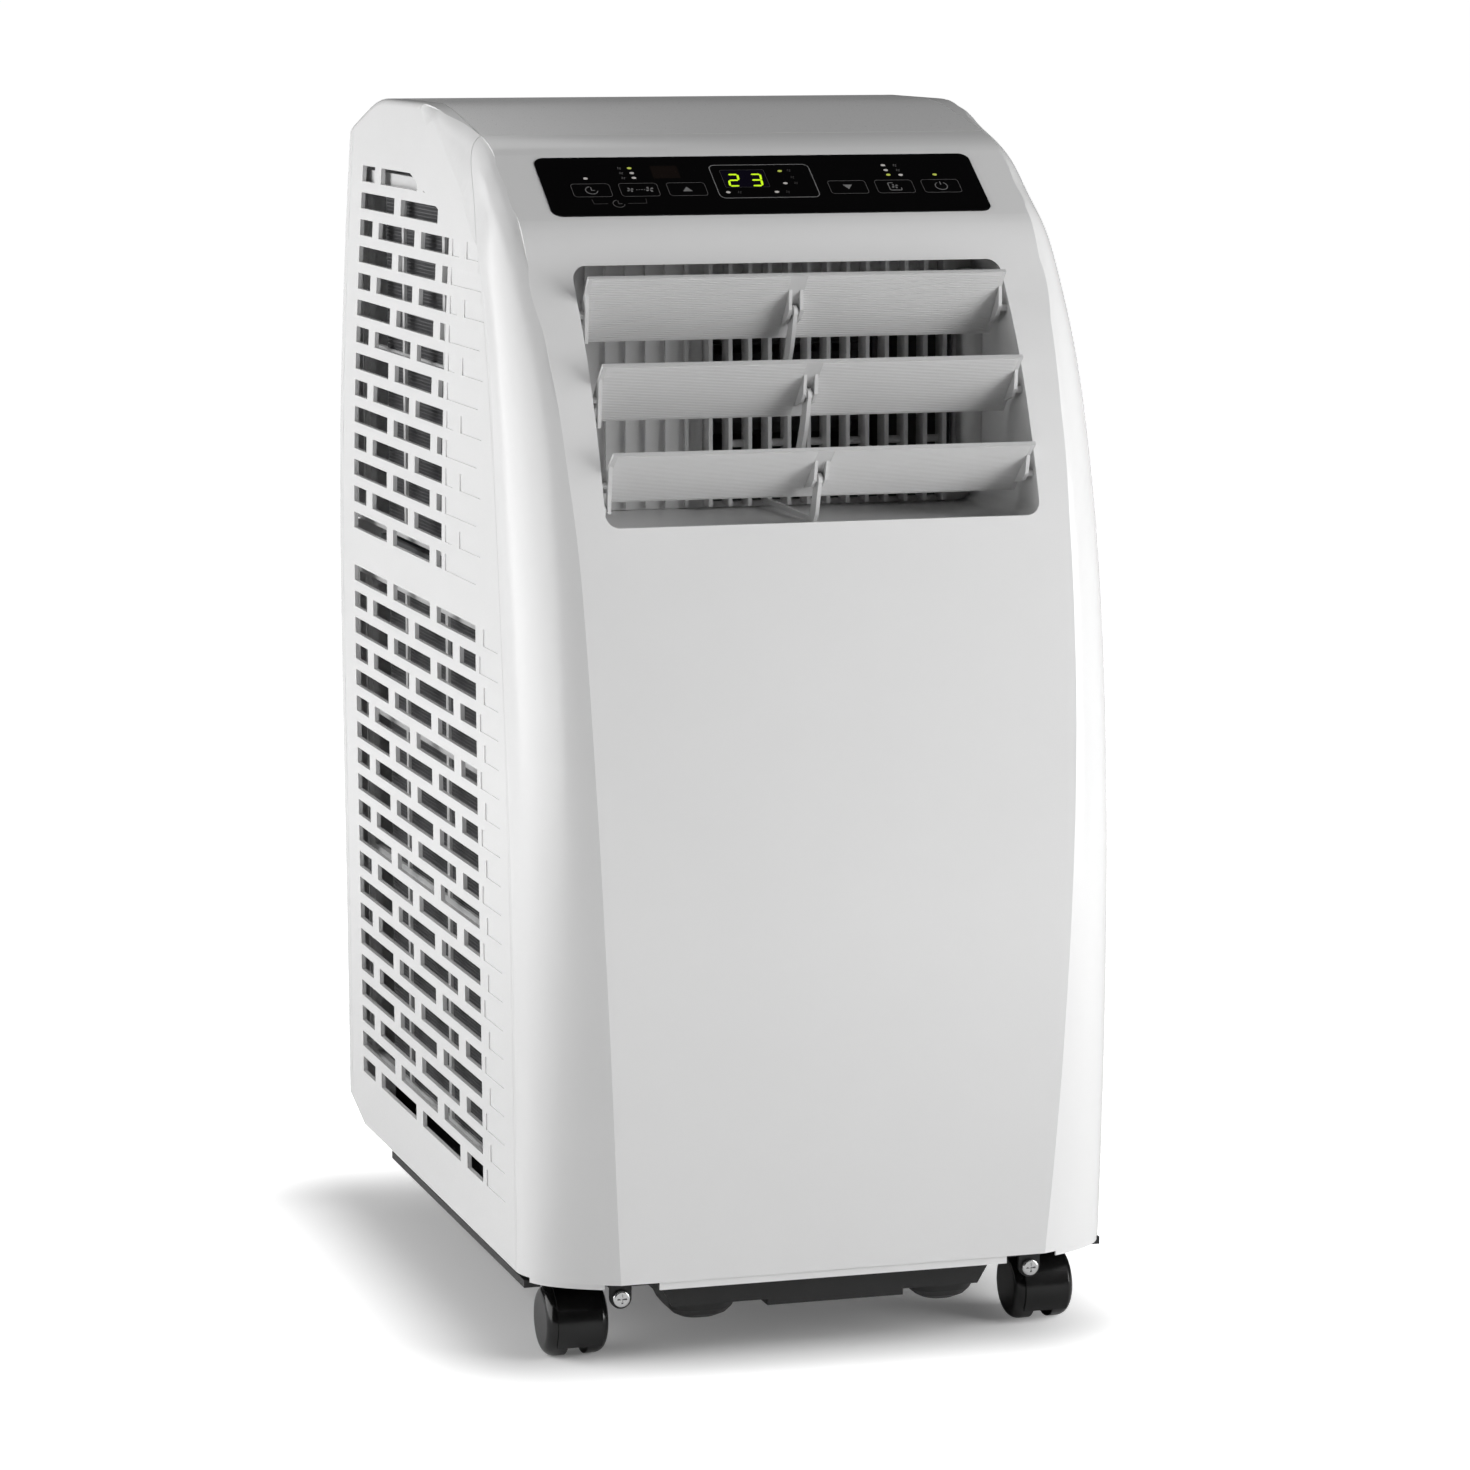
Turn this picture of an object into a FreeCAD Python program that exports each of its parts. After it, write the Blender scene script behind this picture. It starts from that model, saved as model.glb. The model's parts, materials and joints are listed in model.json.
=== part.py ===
import FreeCAD, Part
import math
import os

from FreeCAD import Placement, Rotation, Vector

# Portable air conditioner, in millimetres. The origin is on the floor under the middle of the
# casing, the front faces -Y, +X is to the right of a person looking at the front, +Z is up.

# ---------------------------------------------------------------- driving dimensions
BACK_Y = 248.3
SKIN = 2.5                      # wall of the moulded casing
RIM_Z = 52.0                    # lower rim of the casing
SEAM = 0.4                      # gap between two mouldings
LIP_HALF = 103.0                # the lip under the front runs this far to each side
LIP_REAR = -206.0
EDGE_ROUND = 4.0                # rounding along the roof's side edges
REAR_ROUND = 12.0

# Side view (y, z) of the front, from the lower rim up to the control panel.
FRONT_LINE = [(-239.2, 52), (-244.5, 120), (-248.3, 240), (-245.0, 320), (-235.3, 400),
              (-222.2, 460), (-201.5, 520), (-169.9, 580), (-148.4, 610), (-126.0, 638.6)]
PANEL_TILT = 33.6               # slope of the control panel above level, degrees
ROOF_START = (-74.0, 673.2)
ROOF_LINE = [ROOF_START, (-43.0, 683.6), (15.0, 695.0), (60.0, 700.0)]
REAR_LINE = [(150.0, 700.0), (200.0, 691.5), (232.0, 682.3)]
REAR_TILT = 15.5
REAR_FOOT = (195.0, 68.0)       # the chamfer under the back starts at this y and ends at this z

# Half width of the casing (x, z): the sides bulge a little.
SIDE_LINE = [(174.0, 20), (174.3, 120), (175.9, 320), (175.0, 510), (171.0, 608), (165.0, 700),
             (163.5, 716)]
# Corner band, from the crease of the flat front round to the side: where it is measured along the
# side view, half width of the crease, depth at which the band meets the side.
FRONT_BAND = [(52, 125.7, 46.5), (120, 130.0, 49.0), (200, 134.2, 52.5), (300, 138.8, 55.5),
              (400, 142.1, 56.0), (470, 144.0, 52.0), (530, 146.6, 44.0), (580, 149.8, 34.0),
              (614, 151.4, 29.0)]                                    # by height
PANEL_BAND = [(0.1, 151.9, 28.0), (0.5, 152.2, 28.0), (0.95, 152.4, 26.0)]  # by part of the panel
ROOF_BAND = [(0.25, 152.8, 21.0), (0.5, 156.0, 12.0), (0.72, 160.5, 6.0), (0.95, 163.4, 2.2)]
CREASE_TURN = 20.0              # the band leaves the flat front at this angle, degrees
SIDE_TURN = 4.0                 # and still leans by this angle where it meets the side
# Joint between the front moulding and the side panels, and over the roof (y, z).
PARTING_LINE = [(-193.0, 20), (-190.0, 200), (-177.0, 406), (-145.0, 539), (-98.0, 628),
                (-62.0, 668), (-43.0, 684), (-36.0, 716)]
TOP_HALF = 152.2                # half width of the top cover
REAR_SEAM_Y = 229.0

# Side grille: rows of brick-pattern slots.
SLOT_TOP_Z = 658.0
ROW_PITCH = 16.53
SLOT_HIGH = 9.8
SLOT_LONG = 95.0
SLOT_PITCH = 112.0
ROWS = 35
BLANK_ROW = 14
EVEN_START = 50.0               # y of the end of the rearmost full slot in an even row
ODD_START = 106.0
GRILLE_REAR = 196.0
UPPER_ZONE = [(GRILLE_REAR, 660), (78, 660), (-6, 640), (-36, 625), (-36, 430), (GRILLE_REAR, 430)]
LOWER_FRONT = -117.0
RELIEF_DEPTH = 0.6
RELIEF_FRONT = (-128.0, -168.0)  # where the shallow blind bricks end, upper and lower zone

# Air outlet in the front and its three louvre blades.
OUTLET_HALF = 126.9
OUTLET_Z = (474.1, 614.1)
DUCT_Z = (471.0, 615.0)
DUCT_WALL = 2.2
GUARD_Y = (-112.0, -98.0)
FIN_PITCH = 11.8
FIN_FIRST = -106.2
FIN_THICK = 2.2
OPEN_BAYS = (-37.0, 115.0)
BAY_Z = (474.5, 600.0)
BLADE_HALF = 123.0
BLADE_WIDE = 45.5
BLADE_THICK = 2.2
PIVOT_ALONG = 23.5              # pivot to the blade's lower edge when shut
PIVOT_BACK = 5.6                # pivot behind the blade's outer face
BLADE_OPEN = 109.3              # turn between open (rest) and shut, degrees
BLADES = {"upper": (571.0, 34.8), "middle": (523.8, 26.7), "lower": (476.4, 20.2)}
PIN_R = 2.0
RUN_FIT = 0.05
CRANK = 14.0
CRANK_R = 1.5

# Control panel.
OVERLAY_HALF = 130.8
OVERLAY_HIGH = 55.6
OVERLAY_THICK = 1.8
OVERLAY_PROUD = 0.5
PANEL_MID = (-100.05, 655.9)    # middle of the overlay on the casing's surface (y, z)
KEY_SIZE = (23.4, 13.2)
KEY_DROP = 4.0                  # key centres below the middle of the overlay
KEY_GAP = 0.35
KEYS = {"timer": -103.3, "fan_speed": -75.2, "up": -46.9, "down": 49.6, "mode": 77.9,
        "power": 106.2}
WINDOW = (60.4, 32.4)
WINDOW_MID = (0.8, 2.8)

# Base pan and the plates and skids under it.
PAN_Z = 50.0
SKID_TOP = PAN_Z - 0.1
KEEL = [(-101.0, SKID_TOP), (-91.0, 33.0), (91.0, 33.0), (101.0, SKID_TOP)]     # (x, z)
KEEL_Y = (-222.0, 60.0)
MIDDLE_PLATE = (-35.0, 46.0, 29.5)      # from x, to x, underside
PODS = ((-91.0, -51.0), (54.0, 92.0))
POD_LAYERS = ((33.0, 0.0), (29.0, 1.8), (25.5, 4.6), (23.0, 9.0))     # (height, set in)
TAB = (121.8, -223.0, 41.0)             # middle of the front screw tabs
TAB_R = 6.2

# Casters: swivel axes, front and rear.
CASTERS = {"front": (140.0, -172.0), "rear": (94.0, 188.0)}
TRAIL = 11.5
WHEEL_R = 20.5
WHEEL_WIDE = 12.0
WHEEL_IN = 6.0                  # inner face of each wheel from the caster's middle
HOOD_R = 22.7
HOOD_HALF = 13.0
HOOD_FOOT = 8.0                 # the hood and its web are cut off level at this height
STEM_R = 4.0
AXLE_R = 2.0

# Inside.
FILTER_X = (158.6, 162.4)
COIL_X = (143.0, 157.0)
COIL_REAR = 165.0
EXHAUST_Z = 290.0
EXHAUST_R = 70.0
UPPER_FAN = (55.0, 560.0)       # axis (y, z) of the room-air fan
LOWER_FAN = (85.0, 215.0)       # axis (y, z) of the exhaust fan

nodes = {}


# ---------------------------------------------------------------- helpers
def box(x0, x1, y0, y1, z0, z1):
    return Part.makeBox(x1 - x0, y1 - y0, z1 - z0, Vector(x0, y0, z0))


def rod(start, end, radius):
    a = Vector(*start)
    along = Vector(*end) - a
    return Part.makeCylinder(radius, along.Length, a, along)


def tube(start, end, outer, inner):
    return rod(start, end, outer).cut(rod(start, end, inner))


def polygon_x(points, x0, x1):
    """Prism along X over (y, z) points."""
    face = Part.Face(Part.makePolygon([Vector(x0, y, z) for y, z in points + points[:1]]))
    return face.extrude(Vector(x1 - x0, 0, 0))


def rounded_rect(half_w, half_h, radius):
    """Flat rounded rectangle in the XY plane about the origin."""
    corners = [(half_w, half_h, 0), (-half_w, half_h, 90), (-half_w, -half_h, 180),
               (half_w, -half_h, 270)]
    edges = []
    ends = []
    for x, y, start in corners:
        cx = x - math.copysign(radius, x)
        cy = y - math.copysign(radius, y)
        turn = [math.radians(start + a) for a in (0, 45, 90)]
        points = [Vector(cx + radius * math.cos(a), cy + radius * math.sin(a), 0) for a in turn]
        ends.append((points[0], points[2]))
        edges.append(Part.Arc(*points).toShape())
    for i in range(4):
        edges.append(Part.LineSegment(ends[i][1], ends[(i + 1) % 4][0]).toShape())
    return Part.Face(Part.Wire(Part.__sortEdges__(edges)))


def slab(half_w, half_h, radius, low, high):
    """Rounded plate in the XY plane from z low to high."""
    face = rounded_rect(half_w, half_h, radius)
    face.translate(Vector(0, 0, low))
    return face.extrude(Vector(0, 0, high - low))


def fuse(*shapes):
    return shapes[0].multiFuse(list(shapes[1:])).removeSplitter()


def group(shapes):
    return Part.makeCompound(shapes)


def mirror_x(shape):
    return shape.mirror(Vector(0, 0, 0), Vector(1, 0, 0))


def spline(points, start=None, end=None):
    curve = Part.BSplineCurve()
    if start is None:
        curve.interpolate(points)
    else:
        curve.interpolate(Points=points, InitialTangent=start, FinalTangent=end)
    return curve


def yz(point):
    return Vector(0, point[0], point[1])


def heading(degrees):
    """Unit direction in the side view, measured up from +Y."""
    a = math.radians(degrees)
    return Vector(0, math.cos(a), math.sin(a))


def first_at(curve, z):
    """Point of a rising curve at height z."""
    low, high = curve.FirstParameter, curve.LastParameter
    for _ in range(50):
        middle = (low + high) / 2
        if curve.value(middle).z < z:
            low = middle
        else:
            high = middle
    return curve.value(low)


def inset_curve(curve, inset, count):
    """The same curve moved inwards: to its right when it runs from the front rim backwards."""
    step = (curve.LastParameter - curve.FirstParameter) / (count - 1)
    moved = []
    for i in range(count):
        t = curve.FirstParameter + i * step
        along = curve.tangent(t)[0]
        moved.append(curve.value(t) + Vector(0, along.z, -along.y) * inset)
    return spline(moved, curve.tangent(curve.FirstParameter)[0],
                  curve.tangent(curve.LastParameter)[0])


# ---------------------------------------------------------------- casing surfaces
FRONT_START = heading(94.0)
front_curve = spline([yz(p) for p in FRONT_LINE], FRONT_START, heading(PANEL_TILT))
roof_curve = spline([yz(p) for p in ROOF_LINE], heading(PANEL_TILT), heading(0))
rear_curve = spline([yz(p) for p in REAR_LINE], heading(0), heading(-REAR_TILT))
side_curve = spline([Vector(0, x, z) for x, z in SIDE_LINE])
FRONT_TOP_Z = FRONT_LINE[-1][1]


def half_width(z):
    return first_at(side_curve, z).y


def front_y(z):
    return first_at(front_curve, min(z, FRONT_TOP_Z)).y


def side_profile(inset, open_below):
    """Side view of the casing, extruded across it."""
    front = inset_curve(front_curve, inset, 24) if inset else front_curve
    roof = inset_curve(roof_curve, inset, 8) if inset else roof_curve
    rear = inset_curve(rear_curve, inset, 8) if inset else rear_curve
    f0, f1 = front.StartPoint, front.EndPoint
    r0, r1 = roof.StartPoint, roof.EndPoint
    b0, b1 = rear.StartPoint, rear.EndPoint
    turn = math.radians(90 - REAR_TILT)
    reach = (BACK_Y - REAR_LINE[-1][0]) / math.cos(math.radians(REAR_TILT))
    radius = reach / math.tan(turn / 2)
    centre = Vector(0, BACK_Y - radius, REAR_LINE[-1][1] - radius * math.sin(turn))
    arc = [centre + heading(math.degrees(turn * part)) * (radius - inset) for part in (1, 0.5, 0)]
    back_y = BACK_Y - inset
    if open_below:
        ledge_y = REAR_FOOT[0] + 18.0
        slope = (REAR_FOOT[1] - RIM_Z) / (BACK_Y - REAR_FOOT[0])
        foot = [(back_y, REAR_FOOT[1] + inset), (ledge_y, RIM_Z + 18.0 * slope + inset),
                (ledge_y, 26.0), (f0.y, 26.0)]
    else:
        foot = [(back_y, REAR_FOOT[1]), (REAR_FOOT[0], RIM_Z)]
    corners = [arc[2]] + [yz(p) for p in foot] + [f0]
    edges = [front.toShape(), Part.LineSegment(f1, r0).toShape(), roof.toShape(),
             Part.LineSegment(r1, b0).toShape(), rear.toShape(), Part.Arc(*arc).toShape()]
    edges += [Part.LineSegment(a, b).toShape() for a, b in zip(corners, corners[1:])]
    assert (b1 - arc[0]).Length < 0.05
    face = Part.Face(Part.Wire(edges))
    face.translate(Vector(-200, 0, 0))
    return face.extrude(Vector(400, 0, 0))


def barrel(inset):
    """Front view of the casing between its bulging sides, extruded from front to back."""
    right = spline([Vector(x - inset, -300, z) for x, z in SIDE_LINE])
    left = spline([Vector(inset - x, -300, z) for x, z in SIDE_LINE])
    edges = [right.toShape(), Part.LineSegment(right.EndPoint, left.EndPoint).toShape(),
             left.toShape(), Part.LineSegment(left.StartPoint, right.StartPoint).toShape()]
    return Part.Face(Part.Wire(Part.__sortEdges__(edges))).extrude(Vector(0, 600, 0))


def band_stations(inset):
    """Places along the front, the panel and the roof, each with its crease and band depth."""
    front = inset_curve(front_curve, inset, 24) if inset else front_curve
    roof = inset_curve(roof_curve, inset, 8) if inset else roof_curve
    first = FRONT_BAND[0]
    rim = front.StartPoint
    stations = [(rim - FRONT_START * 40, FRONT_START, *first[1:])]
    for z, crease, depth in FRONT_BAND:
        point = first_at(front, max(z, rim.z))
        stations.append((point, front.tangent(front.parameter(point))[0], crease, depth))
    slope = heading(PANEL_TILT)
    span = roof.StartPoint - front.EndPoint
    for part, crease, depth in PANEL_BAND:
        stations.append((front.EndPoint + span * part, slope, crease, depth))
    reach = roof.LastParameter - roof.FirstParameter
    for part, crease, depth in ROOF_BAND:
        t = roof.FirstParameter + reach * part
        stations.append((roof.value(t), roof.tangent(t)[0], crease, depth))
    return stations


def band_section(point, along, crease, depth, inset, start_turn=CREASE_TURN):
    """Outline of what the right corner band takes off, square to the side view's outline."""
    inwards = Vector(0, along.z, -along.y)

    def at(x, deep):
        return Vector(x, 0, 0) + point + inwards * deep

    def side(deep):
        return half_width(max(20.0, (point + inwards * deep).z)) - inset

    start = crease - 0.35 * inset
    width = side(depth)
    turn = math.radians(start_turn)
    lead = 0.45 * (width - start)
    lean = (side(depth + 4) - width) / 4 + math.tan(math.radians(SIDE_TURN))
    pull = 0.55 * depth
    band = Part.BezierCurve()
    band.setPoles([at(start, 0), at(start + lead * math.cos(turn), lead * math.sin(turn)),
                   at(width - lean * pull, depth - pull), at(width, depth)])
    ring = [at(width, depth), at(width + lean * 4, depth + 4), at(width + 18, depth + 4),
            at(width + 18, -14), at(start, -14), at(start, 0)]
    edges = [band.toShape()] + [Part.LineSegment(a, b).toShape() for a, b in zip(ring, ring[1:])]
    return Part.Wire(edges)


def corner_band(inset):
    return Part.makeLoft([band_section(*s, inset) for s in band_stations(inset)], True, False)


def rim_plan(inset, z):
    """Outline of the casing at its lower rim, drawn at height z."""
    crease, depth = FRONT_BAND[0][1:]
    crease -= 0.35 * inset
    width = half_width(RIM_Z) - inset
    y0 = front_y(RIM_Z) + inset
    y1 = front_y(RIM_Z) + depth
    turn = math.radians(CREASE_TURN)
    lead = Vector(math.cos(turn), math.sin(turn), 0) * (0.45 * (width - crease))
    a, b = Vector(crease, y0, z), Vector(width, y1, z)
    poles = [a, a + lead, b - Vector(0, 0.55 * (y1 - y0), 0), b]
    bands = [Part.BezierCurve(), Part.BezierCurve()]
    bands[0].setPoles(poles)
    bands[1].setPoles([Vector(-p.x, p.y, p.z) for p in poles])
    rear = [Vector(side * width, BACK_Y - inset, z) for side in (1, -1)]
    straight = [(b, rear[0]), rear, (rear[1], Vector(-b.x, b.y, z)), (a, Vector(-a.x, a.y, z))]
    edges = [band.toShape() for band in bands]
    edges += [Part.LineSegment(p, q).toShape() for p, q in straight]
    return Part.Face(Part.Wire(Part.__sortEdges__(edges)))


def rear_corner(inset):
    """What the round right rear corner takes off."""
    sections = []
    for z in (20, 120, 200, 300, 400, 480, 540, 590, 625, 650, 680, 716):
        crease = half_width(z) - REAR_ROUND + 0.35 * inset
        sections.append(band_section(Vector(0, BACK_Y - inset, z), Vector(0, 0, -1), crease,
                                     REAR_ROUND - inset, inset, SIDE_TURN))
    return Part.makeLoft(sections, True, False)


def casing_solid(inset, open_below=False):
    body = side_profile(inset, open_below).common(barrel(inset))
    rims = []
    for edge in body.Edges:
        bounds = edge.BoundBox
        runs_along = bounds.YLength > 5 or bounds.ZLength > 100
        if min(abs(bounds.XMin), abs(bounds.XMax)) > 150 and runs_along and bounds.ZMax > 560:
            rims.append(edge)
    body = body.makeFillet(EDGE_ROUND - 0.4 * inset, rims)
    for corner in (corner_band(inset), rear_corner(inset)):
        body = body.cut(corner).cut(mirror_x(corner))
    return body


# ---------------------------------------------------------------- casing mouldings
def parting_prism(shift):
    """Everything in front of the joint between the front moulding and the rest."""
    joint = spline([Vector(-200, y + shift, z) for y, z in PARTING_LINE])
    a, b = joint.EndPoint, joint.StartPoint
    ring = [a, Vector(-200, -300, a.z), Vector(-200, -300, b.z), b]
    edges = [joint.toShape()]
    edges += [Part.LineSegment(p, q).toShape() for p, q in zip(ring, ring[1:])]
    return Part.Face(Part.Wire(edges)).extrude(Vector(400, 0, 0))


def on_panel(shape):
    """Move a shape from the XY plane onto the control panel: +Z becomes outwards."""
    placed = shape.copy()
    panel = Placement(Vector(0, *PANEL_MID), Rotation(Vector(1, 0, 0), PANEL_TILT))
    placed.Placement = panel.multiply(shape.Placement)
    return placed


def key_places():
    return {name: Vector(x, -KEY_DROP, 0) for name, x in KEYS.items()}


def key_blocks(grow, low, high):
    blocks = []
    for place in key_places().values():
        block = slab(KEY_SIZE[0] / 2 + grow, KEY_SIZE[1] / 2 + grow, 2.0 + grow, low, high)
        block.translate(place)
        blocks.append(block)
    return blocks


def window_block(grow, low, high):
    block = slab(WINDOW[0] / 2 + grow, WINDOW[1] / 2 + grow, 4.0, low, high)
    block.translate(Vector(WINDOW_MID[0], WINDOW_MID[1], 0))
    return block


def outlet_prism(grow, y0, y1, low=OUTLET_Z[0], high=OUTLET_Z[1]):
    """Prism along Y with the outlet's rounded outline."""
    face = rounded_rect(OUTLET_HALF + grow, (high - low) / 2 + grow, 8.0 + grow)
    face.Placement = Placement(Vector(0, y0, (low + high) / 2), Rotation(Vector(1, 0, 0), 90))
    return face.extrude(Vector(0, y1 - y0, 0))


def front_shell(shell):
    body = shell.common(parting_prism(-SEAM / 2))
    recess = on_panel(slab(OVERLAY_HALF + 0.3, OVERLAY_HIGH / 2 + 0.3, 6.3,
                           OVERLAY_PROUD - OVERLAY_THICK, 10))
    openings = [on_panel(block) for block in key_blocks(1.2, -12, 10)]
    openings += [on_panel(window_block(-3, -12, 10)), outlet_prism(0, -260, -120)]
    body = body.cut(recess.multiFuse(openings))
    # A thinner lip runs on below the rim, set back from it, and stops beside the screw tabs.
    lip = rim_plan(1.2, 44).extrude(Vector(0, 0, 12)).cut(inner_casing)
    keep = fuse(box(-LIP_HALF, LIP_HALF, -260, -200, 47.5, 52.2),
                *[box(x, x + 66, -260, LIP_REAR, 49.0, 52.2) for x in (-200, 134)])
    return body.fuse(lip.common(keep)).removeSplitter()


def top_cover(shell):
    return shell.cut(parting_prism(SEAM / 2)).common(
        box(-TOP_HALF, TOP_HALF, -120, REAR_SEAM_Y - SEAM, 600, 720))


def grille_cuts(zone_blind):
    """Slots through the right side panel, or the shallow blind bricks in front of them."""
    cuts = []
    for row in range(ROWS):
        top = SLOT_TOP_Z - ROW_PITCH * row
        upper = row < BLANK_ROW
        start = ODD_START if row % 2 else EVEN_START
        if zone_blind:
            rear = (-36.0 - 8.5) if upper else (LOWER_FRONT - 8.5)
            front = RELIEF_FRONT[0 if upper else 1]
            inner = half_width(top - SLOT_HIGH / 2) - RELIEF_DEPTH
        else:
            rear = GRILLE_REAR
            front = -36.0 if upper else LOWER_FRONT
            inner = 150.0
        if row == BLANK_ROW or (zone_blind and top > 640):
            continue
        y0 = start + SLOT_PITCH
        while y0 + SLOT_LONG > front:
            low, high = max(y0, front), min(y0 + SLOT_LONG, rear)
            if high - low > 4:
                cuts.append(box(inner, 190, low, high, top - SLOT_HIGH, top))
            y0 -= SLOT_PITCH
    return group(cuts)


def right_side_panel(shell):
    side = shell.cut(parting_prism(SEAM / 2)).common(box(0, 200, -250, REAR_SEAM_Y - SEAM, 0, 720))
    side = side.cut(box(-10, TOP_HALF + SEAM, -250, 300, 600, 720)).cut(box(-10, 150, -250, 300, 0, 600))
    upper = polygon_x(UPPER_ZONE, 140, 200)
    lower = box(140, 200, LOWER_FRONT, GRILLE_REAR, 80, 425)
    slots = grille_cuts(False)
    return side.cut(slots.common(upper.fuse(lower))).cut(grille_cuts(True))


def rear_shell(shell):
    ledge = box(-149.6, 149.6, 200, REAR_SEAM_Y + 1, 45, 75)
    body = shell.common(box(-200, 200, REAR_SEAM_Y, 260, 0, 720).fuse(ledge))
    body = body.cut(rod((0, 230, EXHAUST_Z), (0, 260, EXHAUST_Z), EXHAUST_R + 3.3))
    for _, _, low, high in FILTERS.values():
        for side in (-1, 1):
            x0, x1 = sorted((side * (FILTER_X[0] - 0.8), side * (FILTER_X[1] + 0.8)))
            body = body.cut(box(x0, x1, 225, 260, low - 1, high + 1))
    for x, z in DRAINS.values():
        body = body.cut(rod((x, 230, z), (x, 260, z), 13))
        cup = tube((x, 241.0, z), (x, 248.0, z), 14.5, 12.5)
        floor = tube((x, 241.0, z), (x, 243.5, z), 14.5, 5.0 + RUN_FIT)
        spout = tube((x, 224.0, z), (x, 241.0, z), 8.0, 5.0 + RUN_FIT)
        body = fuse(body, cup, floor, spout)
    body = body.cut(rod((CORD_INLET[0], 230, CORD_INLET[1]), (CORD_INLET[0], 260, CORD_INLET[1]), 8.2))
    for x, z in REAR_SCREWS:
        body = fuse(body, rod((x, 234, z), (x, 246, z), 6.0))
        body = body.cut(rod((x, BACK_Y - 1.8, z), (x, 260, z), 4.5))
        body = body.cut(rod((x, 228, z), (x, 260, z), 1.75))
    grille = [box(-118, 118, 240, 260, 560 + 14 * i, 566 + 14 * i) for i in range(6)]
    return body.cut(group(grille))


def base_pan():
    """Tray that carries the inside, with a boss over each caster's stem."""
    pan = rim_plan(5.5, PAN_Z).extrude(Vector(0, 0, 28))
    pan = pan.cut(rim_plan(8.0, PAN_Z + 3).extrude(Vector(0, 0, 30)))
    pan = pan.cut(polygon_x([(196, 40), (196, 47.2), (212, 51.0), (212, 100), (260, 100),
                             (260, 40)], -200, 200))
    pan = pan.fuse(box(-150, 150, 209, 211.5, PAN_Z + 1.5, PAN_Z + 28))
    stems = [(side * x, y) for x, y in CASTERS.values() for side in (-1, 1)]
    pan = fuse(pan, *[rod((x, y, PAN_Z + 1), (x, y, 70), 9.0) for x, y in stems])
    return pan.cut(group([rod((x, y, 30), (x, y, 67), STEM_R + RUN_FIT) for x, y in stems]))


def pod(x0, x1):
    """Rounded bump under the front of the keel."""
    layers = []
    for z, set_in in POD_LAYERS:
        face = rounded_rect((x1 - x0) / 2 - set_in, 26 - set_in, 12 - 0.3 * set_in)
        face.translate(Vector((x0 + x1) / 2, KEEL_Y[0] + 26, z))
        layers.append(face.OuterWire)
    return Part.makeLoft(layers, True, True)


def underside_skids():
    """Keel, plates and side skids under the pan, and the tabs that take the front screws."""
    ring = [Vector(x, KEEL_Y[0], z) for x, z in KEEL + KEEL[:1]]
    parts = [Part.Face(Part.makePolygon(ring)).extrude(Vector(0, KEEL_Y[1] - KEEL_Y[0], 0))]
    x0, x1, low = MIDDLE_PLATE
    parts.append(box(x0, x1, KEEL_Y[0], -120, low, KEEL[1][1]))
    parts += [pod(*ends) for ends in PODS]
    x, y, z = TAB
    for side in (-1, 1):
        plate = fuse(rod((side * x, y - 1.5, z), (side * x, y + 1.5, z), TAB_R),
                     box(side * x - TAB_R, side * x + TAB_R, y - 1.5, y + 1.5, z, SKID_TOP))
        parts.append(plate.cut(rod((side * x, y - 5, z), (side * x, y + 5, z), 1.75)))
        near, far = sorted((side * 101.2, side * (x + TAB_R)))
        parts.append(box(near, far, y + 1.5, -204, 46.5, SKID_TOP))
        near, far = sorted((side * 163.0, side * 172.5))
        rail = box(near, far, -204, 125, 45.5, SKID_TOP)
        parts.append(rail)
    return group(parts)


# ---------------------------------------------------------------- control panel
def control_overlay():
    plate = slab(OVERLAY_HALF, OVERLAY_HIGH / 2, 6.0, OVERLAY_PROUD - OVERLAY_THICK, OVERLAY_PROUD)
    holes = key_blocks(KEY_GAP, -5, 5) + [window_block(0.15, -5, 5)]
    return on_panel(plate.cut(group(holes)))


def display_window():
    return on_panel(window_block(0, OVERLAY_PROUD - OVERLAY_THICK, OVERLAY_PROUD + 0.1))


def display_board():
    board = box(-120, 120, -20, 20, -11.6, -10.0)
    switches = [box(p.x - 3, p.x + 3, p.y - 3, p.y + 3, -10.0, -7.5) for p in key_places().values()]
    digits = box(-28, 4, -8, 12, -10.0, -3.5)
    return on_panel(fuse(board, digits, *switches))


def key(place):
    cap = slab(KEY_SIZE[0] / 2, KEY_SIZE[1] / 2, 2.0, -2.8, OVERLAY_PROUD + 0.1)
    stem = rod((0, 0, -6.6), (0, 0, -2.8), 2.0)
    shape = fuse(cap, stem)
    shape.translate(place)
    return on_panel(shape)


# ---------------------------------------------------------------- outlet and louvres
def blade_pivot(name):
    """Pivot of a blade, from where its lower edge meets the casing's front when shut."""
    edge_z, lean = BLADES[name]
    shut = heading(90 - lean)
    inwards = heading(-lean)
    return Vector(0, front_y(edge_z), edge_z) + shut * PIVOT_ALONG + inwards * PIVOT_BACK


def open_frame(name):
    """Directions of an open blade: along it from its lower edge, and towards the pivot side."""
    along = heading(90 - BLADES[name][1] - BLADE_OPEN)
    return along, heading(-BLADES[name][1] - BLADE_OPEN)


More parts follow.
